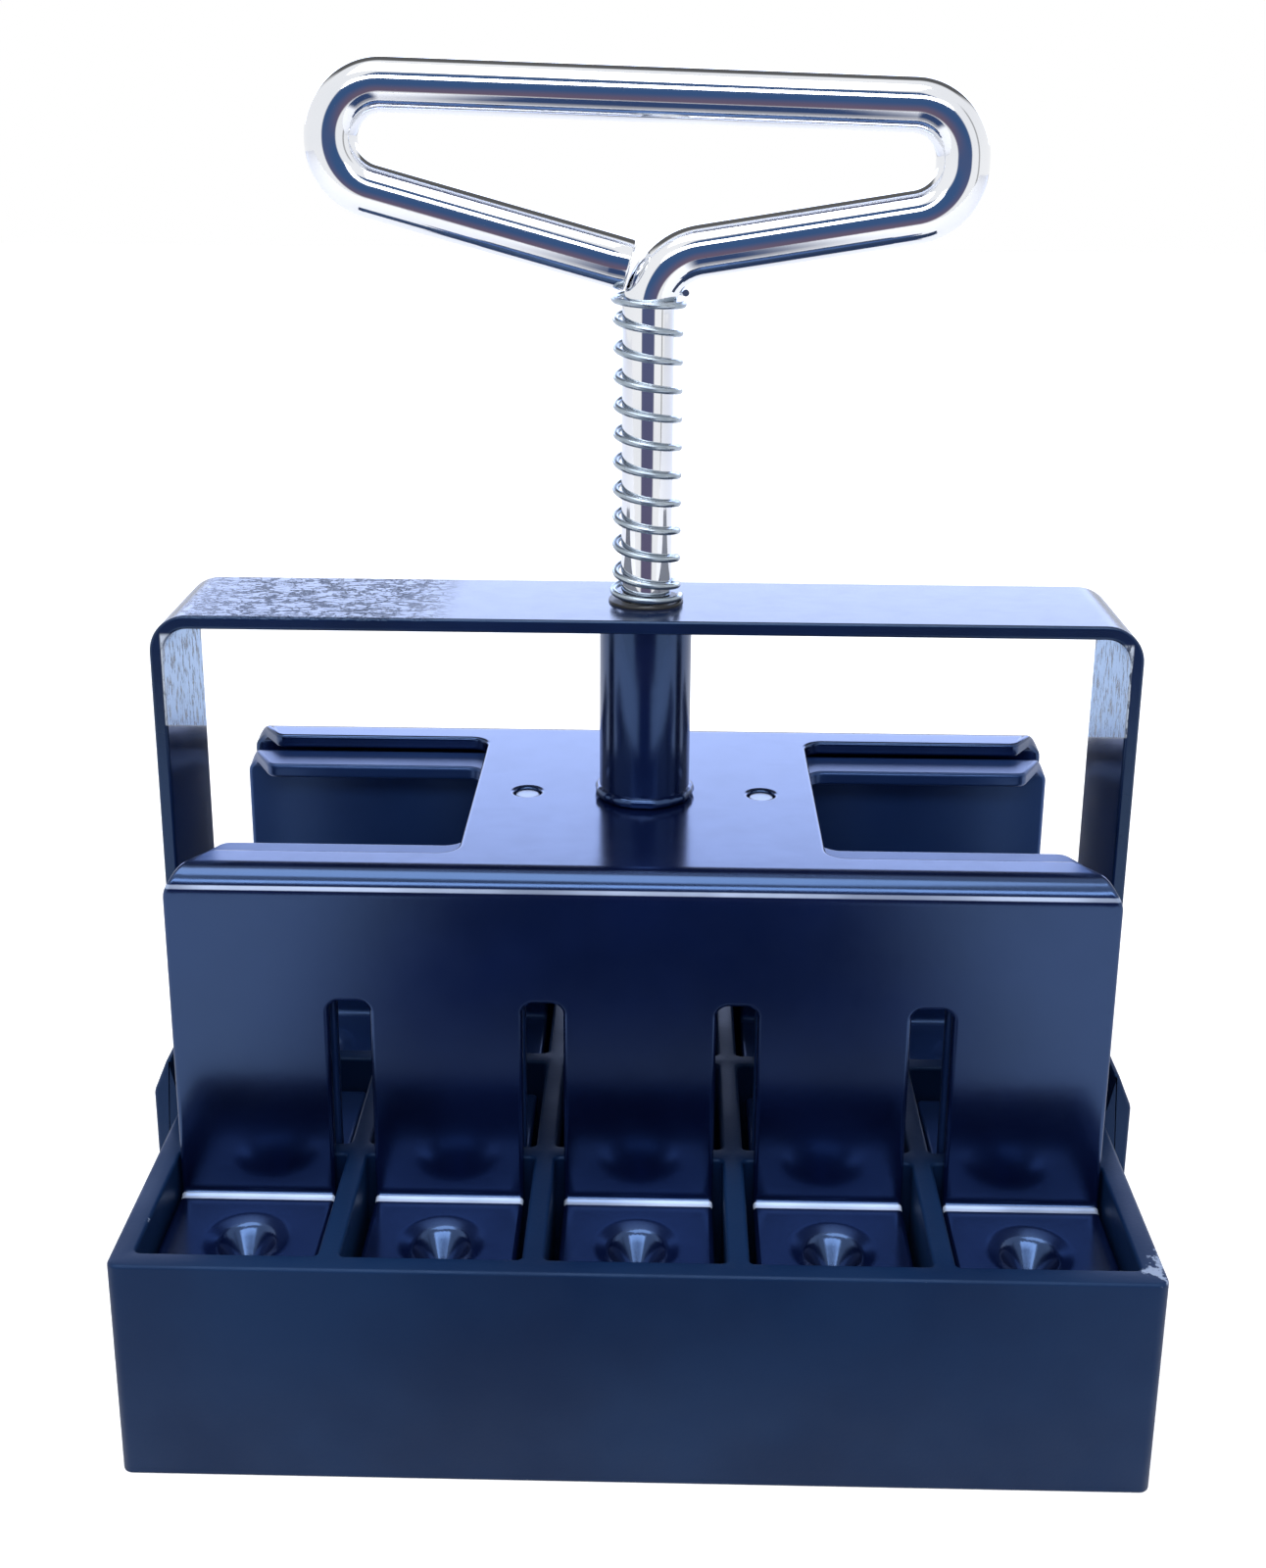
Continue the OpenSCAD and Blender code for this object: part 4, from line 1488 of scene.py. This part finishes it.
@dataclass(frozen=True)
class Studio:
    """Pale floor, white surroundings with a dusky patch round the camera, and soft lamps."""

    floor_tone: str = "#e9e9ea"
    floor_shade: str = "#8c8c92"
    floor_dusk: str = "#2c3d5e"
    floor_lift: float = 0.42
    dusk_high: str = "#3c5a86"
    dusk_low: str = "#6d5f74"
    patch_half: float = 33.0
    patch_rise: float = 44.0
    patch_up: float = 11.0
    door_at: float = 64.0
    ceiling: float = 0.12

    def build(self) -> None:
        """Makes the floor, the world and the lamps."""
        self.floor()
        self.world()
        self.lamp("soft_top", (-0.1, -0.2, 0.9), (0.0, 0.0, 0.05), (0.7, 0.5), 4.0)
        self.lamp("softbox_front", (0.0, -0.68, 0.56), (0.0, 0.0, 0.06), (0.9, 0.17), 3.0)
        self.lamp("window_behind", (0.0, 1.0, 0.38), (0.0, 0.0, 0.06), (1.9, 0.34), 6.8, "#b9cdff")

    def floor(self) -> None:
        """A plain table top that shows white to the camera and keeps the shadow. To reflections, a
        soft-edged strip in front is dim, as the photographer's own shadow is in the real metal."""
        west, east, south, north, under = -900.0, 900.0, -235.0, 1500.0, -0.02
        points = np.array([[west, south, under], [east, south, under], [east, north, under], [west, north, under]])
        piece = add_mesh("studio_floor", points, [np.array([[0, 1, 2, 3]])])
        material, tree, place = start_material("matt_paper")
        x, y, _ = add(tree, Node.PARTS, place)
        seen = add(tree, Node.CAMERA_RAY)
        strip = region(tree, (add(tree, Node.UNSIGNED, x), 70, 34), (y, -50, -80))
        dim = add(tree, Node.GREATER, add(tree, Node.MINUS, strip, seen), 0.0)
        deep = add(tree, Node.TINT, region(tree, (y, -85, -120)), linear(self.floor_shade), linear(self.floor_dusk))
        paper = add(tree, Node.DIFFUSE, add(tree, Node.TINT, dim, linear(self.floor_tone), deep))
        glow = add(tree, Node.GLOW, WHITE, add(tree, Node.TIMES, seen, self.floor_lift))
        add(tree, Node.SURFACE, add(tree, Node.BOTH, paper, glow))
        piece.data.materials.append(material)

    def world(self) -> None:
        """White to the camera. To reflections, white too, but for a dusky oval round the camera's
        direction, as of the room behind it, and a dim ceiling behind, as the photograph's metal shows."""
        world = bpy.data.worlds.new("studio_world")
        bpy.context.scene.world = world
        world.use_nodes = True
        tree = world.node_tree
        tree.nodes.clear()
        x, y, z = add(tree, Node.PARTS, add(tree, Node.HEADING))
        # The oval's two measures: degrees aside from the camera and above its middle, over its half widths
        forward = add(tree, Node.TIMES, y, -1.0)
        aside = add(tree, Node.OVER, add(tree, Node.ANGLE, x, forward), math.radians(self.patch_half))
        above = add(tree, Node.MINUS, add(tree, Node.RISE, z), math.radians(self.patch_up))
        upright = add(tree, Node.OVER, above, math.radians(self.patch_rise))
        squares = add(tree, Node.PLUS, add(tree, Node.TIMES, aside, aside), add(tree, Node.TIMES, upright, upright))
        patch = add(tree, Node.RAMP, add(tree, Node.ROOT, squares), 0.86, 1.04, 1.0, 0.0)
        share = add(tree, Node.RAMP, upright, -0.8, -0.1)
        dusk = add(tree, Node.TINT, share, linear(self.dusk_low), linear(self.dusk_high))
        # The ceiling: a band behind, from 27 to 73 degrees up with soft bounds, that stays clear of both sides
        tilt = add(tree, Node.ANGLE, z, y)
        bounds = ((tilt, math.radians(27), math.radians(31), 0.0, 1.0),
                  (tilt, math.radians(60), math.radians(73), 1.0, 0.0),
                  (add(tree, Node.UNSIGNED, x), 0.5, 0.8, 1.0, 0.0))
        band = reduce(lambda first, second: add(tree, Node.TIMES, first, second),
                      [add(tree, Node.RAMP, *bound) for bound in bounds])
        # A narrow dark upright, as of a door frame, to the right of the camera
        off = add(tree, Node.UNSIGNED, add(tree, Node.MINUS, aside, self.door_at / self.patch_half))
        door = add(tree, Node.TIMES, add(tree, Node.RAMP, off, 0.08, 0.13, 0.6, 0.0),
                   add(tree, Node.RAMP, z, 0.75, 0.5))
        level = add(tree, Node.RAMP, add(tree, Node.GREATER, band, door), 0.0, 1.0, 1.0, self.ceiling)
        plain = add(tree, Node.GREY, level, level, level)
        around = add(tree, Node.BACKGROUND, add(tree, Node.TINT, patch, plain, dusk), 1.0)
        white = add(tree, Node.BACKGROUND, WHITE, 1.0)
        add(tree, Node.SKY, add(tree, Node.EITHER, add(tree, Node.CAMERA_RAY), around, white))

    def lamp(self, name: str, place: tuple[float, float, float], target: tuple[float, float, float],
             size: tuple[float, float], power: float, colour: str = "#ffffff") -> None:
        """A flat soft lamp.

        Args:
            name: Name of the lamp.
            place: Where it hangs, in metres.
            target: What it points at, in metres.
            size: Its width and height, in metres.
            power: Power in watts.
            colour: Its colour.
        """
        light = bpy.data.lights.new(name, "AREA")
        light.shape, light.energy, light.color = "RECTANGLE", power, linear(colour)[:3]
        light.size, light.size_y = size
        back = np.array(place) - np.array(target)
        back = back / np.linalg.norm(back)
        right = np.cross([0.0, 0.0, 1.0], back)
        right = right / np.linalg.norm(right)
        stand(name, light, [right, np.cross(back, right), back], place)


@dataclass(frozen=True)
class View:
    """The photograph's view: where the camera stands, how it is turned, and its lens."""

    place: tuple[float, float, float] = (2.353, -213.985, 147.560)
    yaw: float = -0.01812
    pitch: float = 0.28854
    roll: float = 0.0069
    focal: float = 1895.47
    middle: tuple[float, float] = (646.0, 643.57)
    frame_size: tuple[float, float] = (1292.0, 1600.0)
    sensor: float = 36.0

    def build(self) -> None:
        """Makes the camera. Its axes come from yaw, then pitch down, then roll."""
        way = np.array([math.sin(self.yaw) * math.cos(self.pitch), math.cos(self.yaw) * math.cos(self.pitch),
                        -math.sin(self.pitch)])
        level = np.array([math.cos(self.yaw), -math.sin(self.yaw), 0.0])
        upright = np.cross(level, way)
        right = math.cos(self.roll) * level + math.sin(self.roll) * upright
        up = -math.sin(self.roll) * level + math.cos(self.roll) * upright
        data = bpy.data.cameras.new("photo_view")
        data.sensor_width = self.sensor
        data.lens = self.focal / self.frame_size[1] * self.sensor
        data.shift_x = (self.frame_size[0] / 2 - self.middle[0]) / self.frame_size[1]
        data.shift_y = (self.middle[1] - self.frame_size[1] / 2) / self.frame_size[1]
        data.clip_start, data.clip_end = 0.01, 30.0
        bpy.context.scene.camera = stand("photo_view", data, [right, up, -way], np.array(self.place) * MM)


def main() -> None:
    """Builds the stage and every piece in order."""
    logging.basicConfig(level=logging.INFO, format="%(name)s: %(message)s")
    bpy.context.scene.view_settings.view_transform = "Standard"
    View().build()
    Studio().build()
    sheet_finish = CoatedSteel("lacquered_steel").build()
    hoop_finish = CoatedSteel("lacquered_hoop_steel", colour="#08142f", thin="#0b1a3b", sheen="#90b2dc", roughness=0.18,
                              gloss=0.62, scuffed_with_painted_reflection=True).build()
    # The lower sheet's lacquer is a lighter copy of the upper's: painted light for its faces in shade behind the
    # cutouts
    inner_lightened_finish = CoatedSteel("lacquered_steel_lightened_for_shade", colour="#122650", thin="#172d58", roughness=0.3).build()
    CellBlock().build(MouldedPolymer().build())
    StrapHoop().build(hoop_finish)
    Ejector("outer_ejector_sheet", "outer_ejector", "coated_ejector", face=25.3, top=LEVELS.outer_top,
            foot_tip=42.3, side=1, pierced=True).build(sheet_finish)
    Ejector("inner_ejector_sheet", "inner_ejector", "coated_ejector", face=20.5, top=LEVELS.inner_top,
            foot_tip=1.7, side=-1, pierced=False, flange=7.8).build(inner_lightened_finish)
    SpacerTube().build(sheet_finish)
    GuideBush().build(BlackNylon().build())
    ChromedBar().build(BrightMetal("bright_chrome", "#eceef2", "#e3e6ec", 0.06, 18.0, 0.002).build())
    ReturnSpring().build(BrightMetal("zinc_spring_wire", "#aab5c0", "#96a3af", 0.26, 3.0, 0.004).build())
    zinc = BrightMetal("zinc_plate", "#b8bcc2", "#9ea3aa", 0.32, 2.0, 0.006).build()
    RodWasher().build(zinc)
    RodNut().build(zinc)


if __name__ == "__main__":
    main()
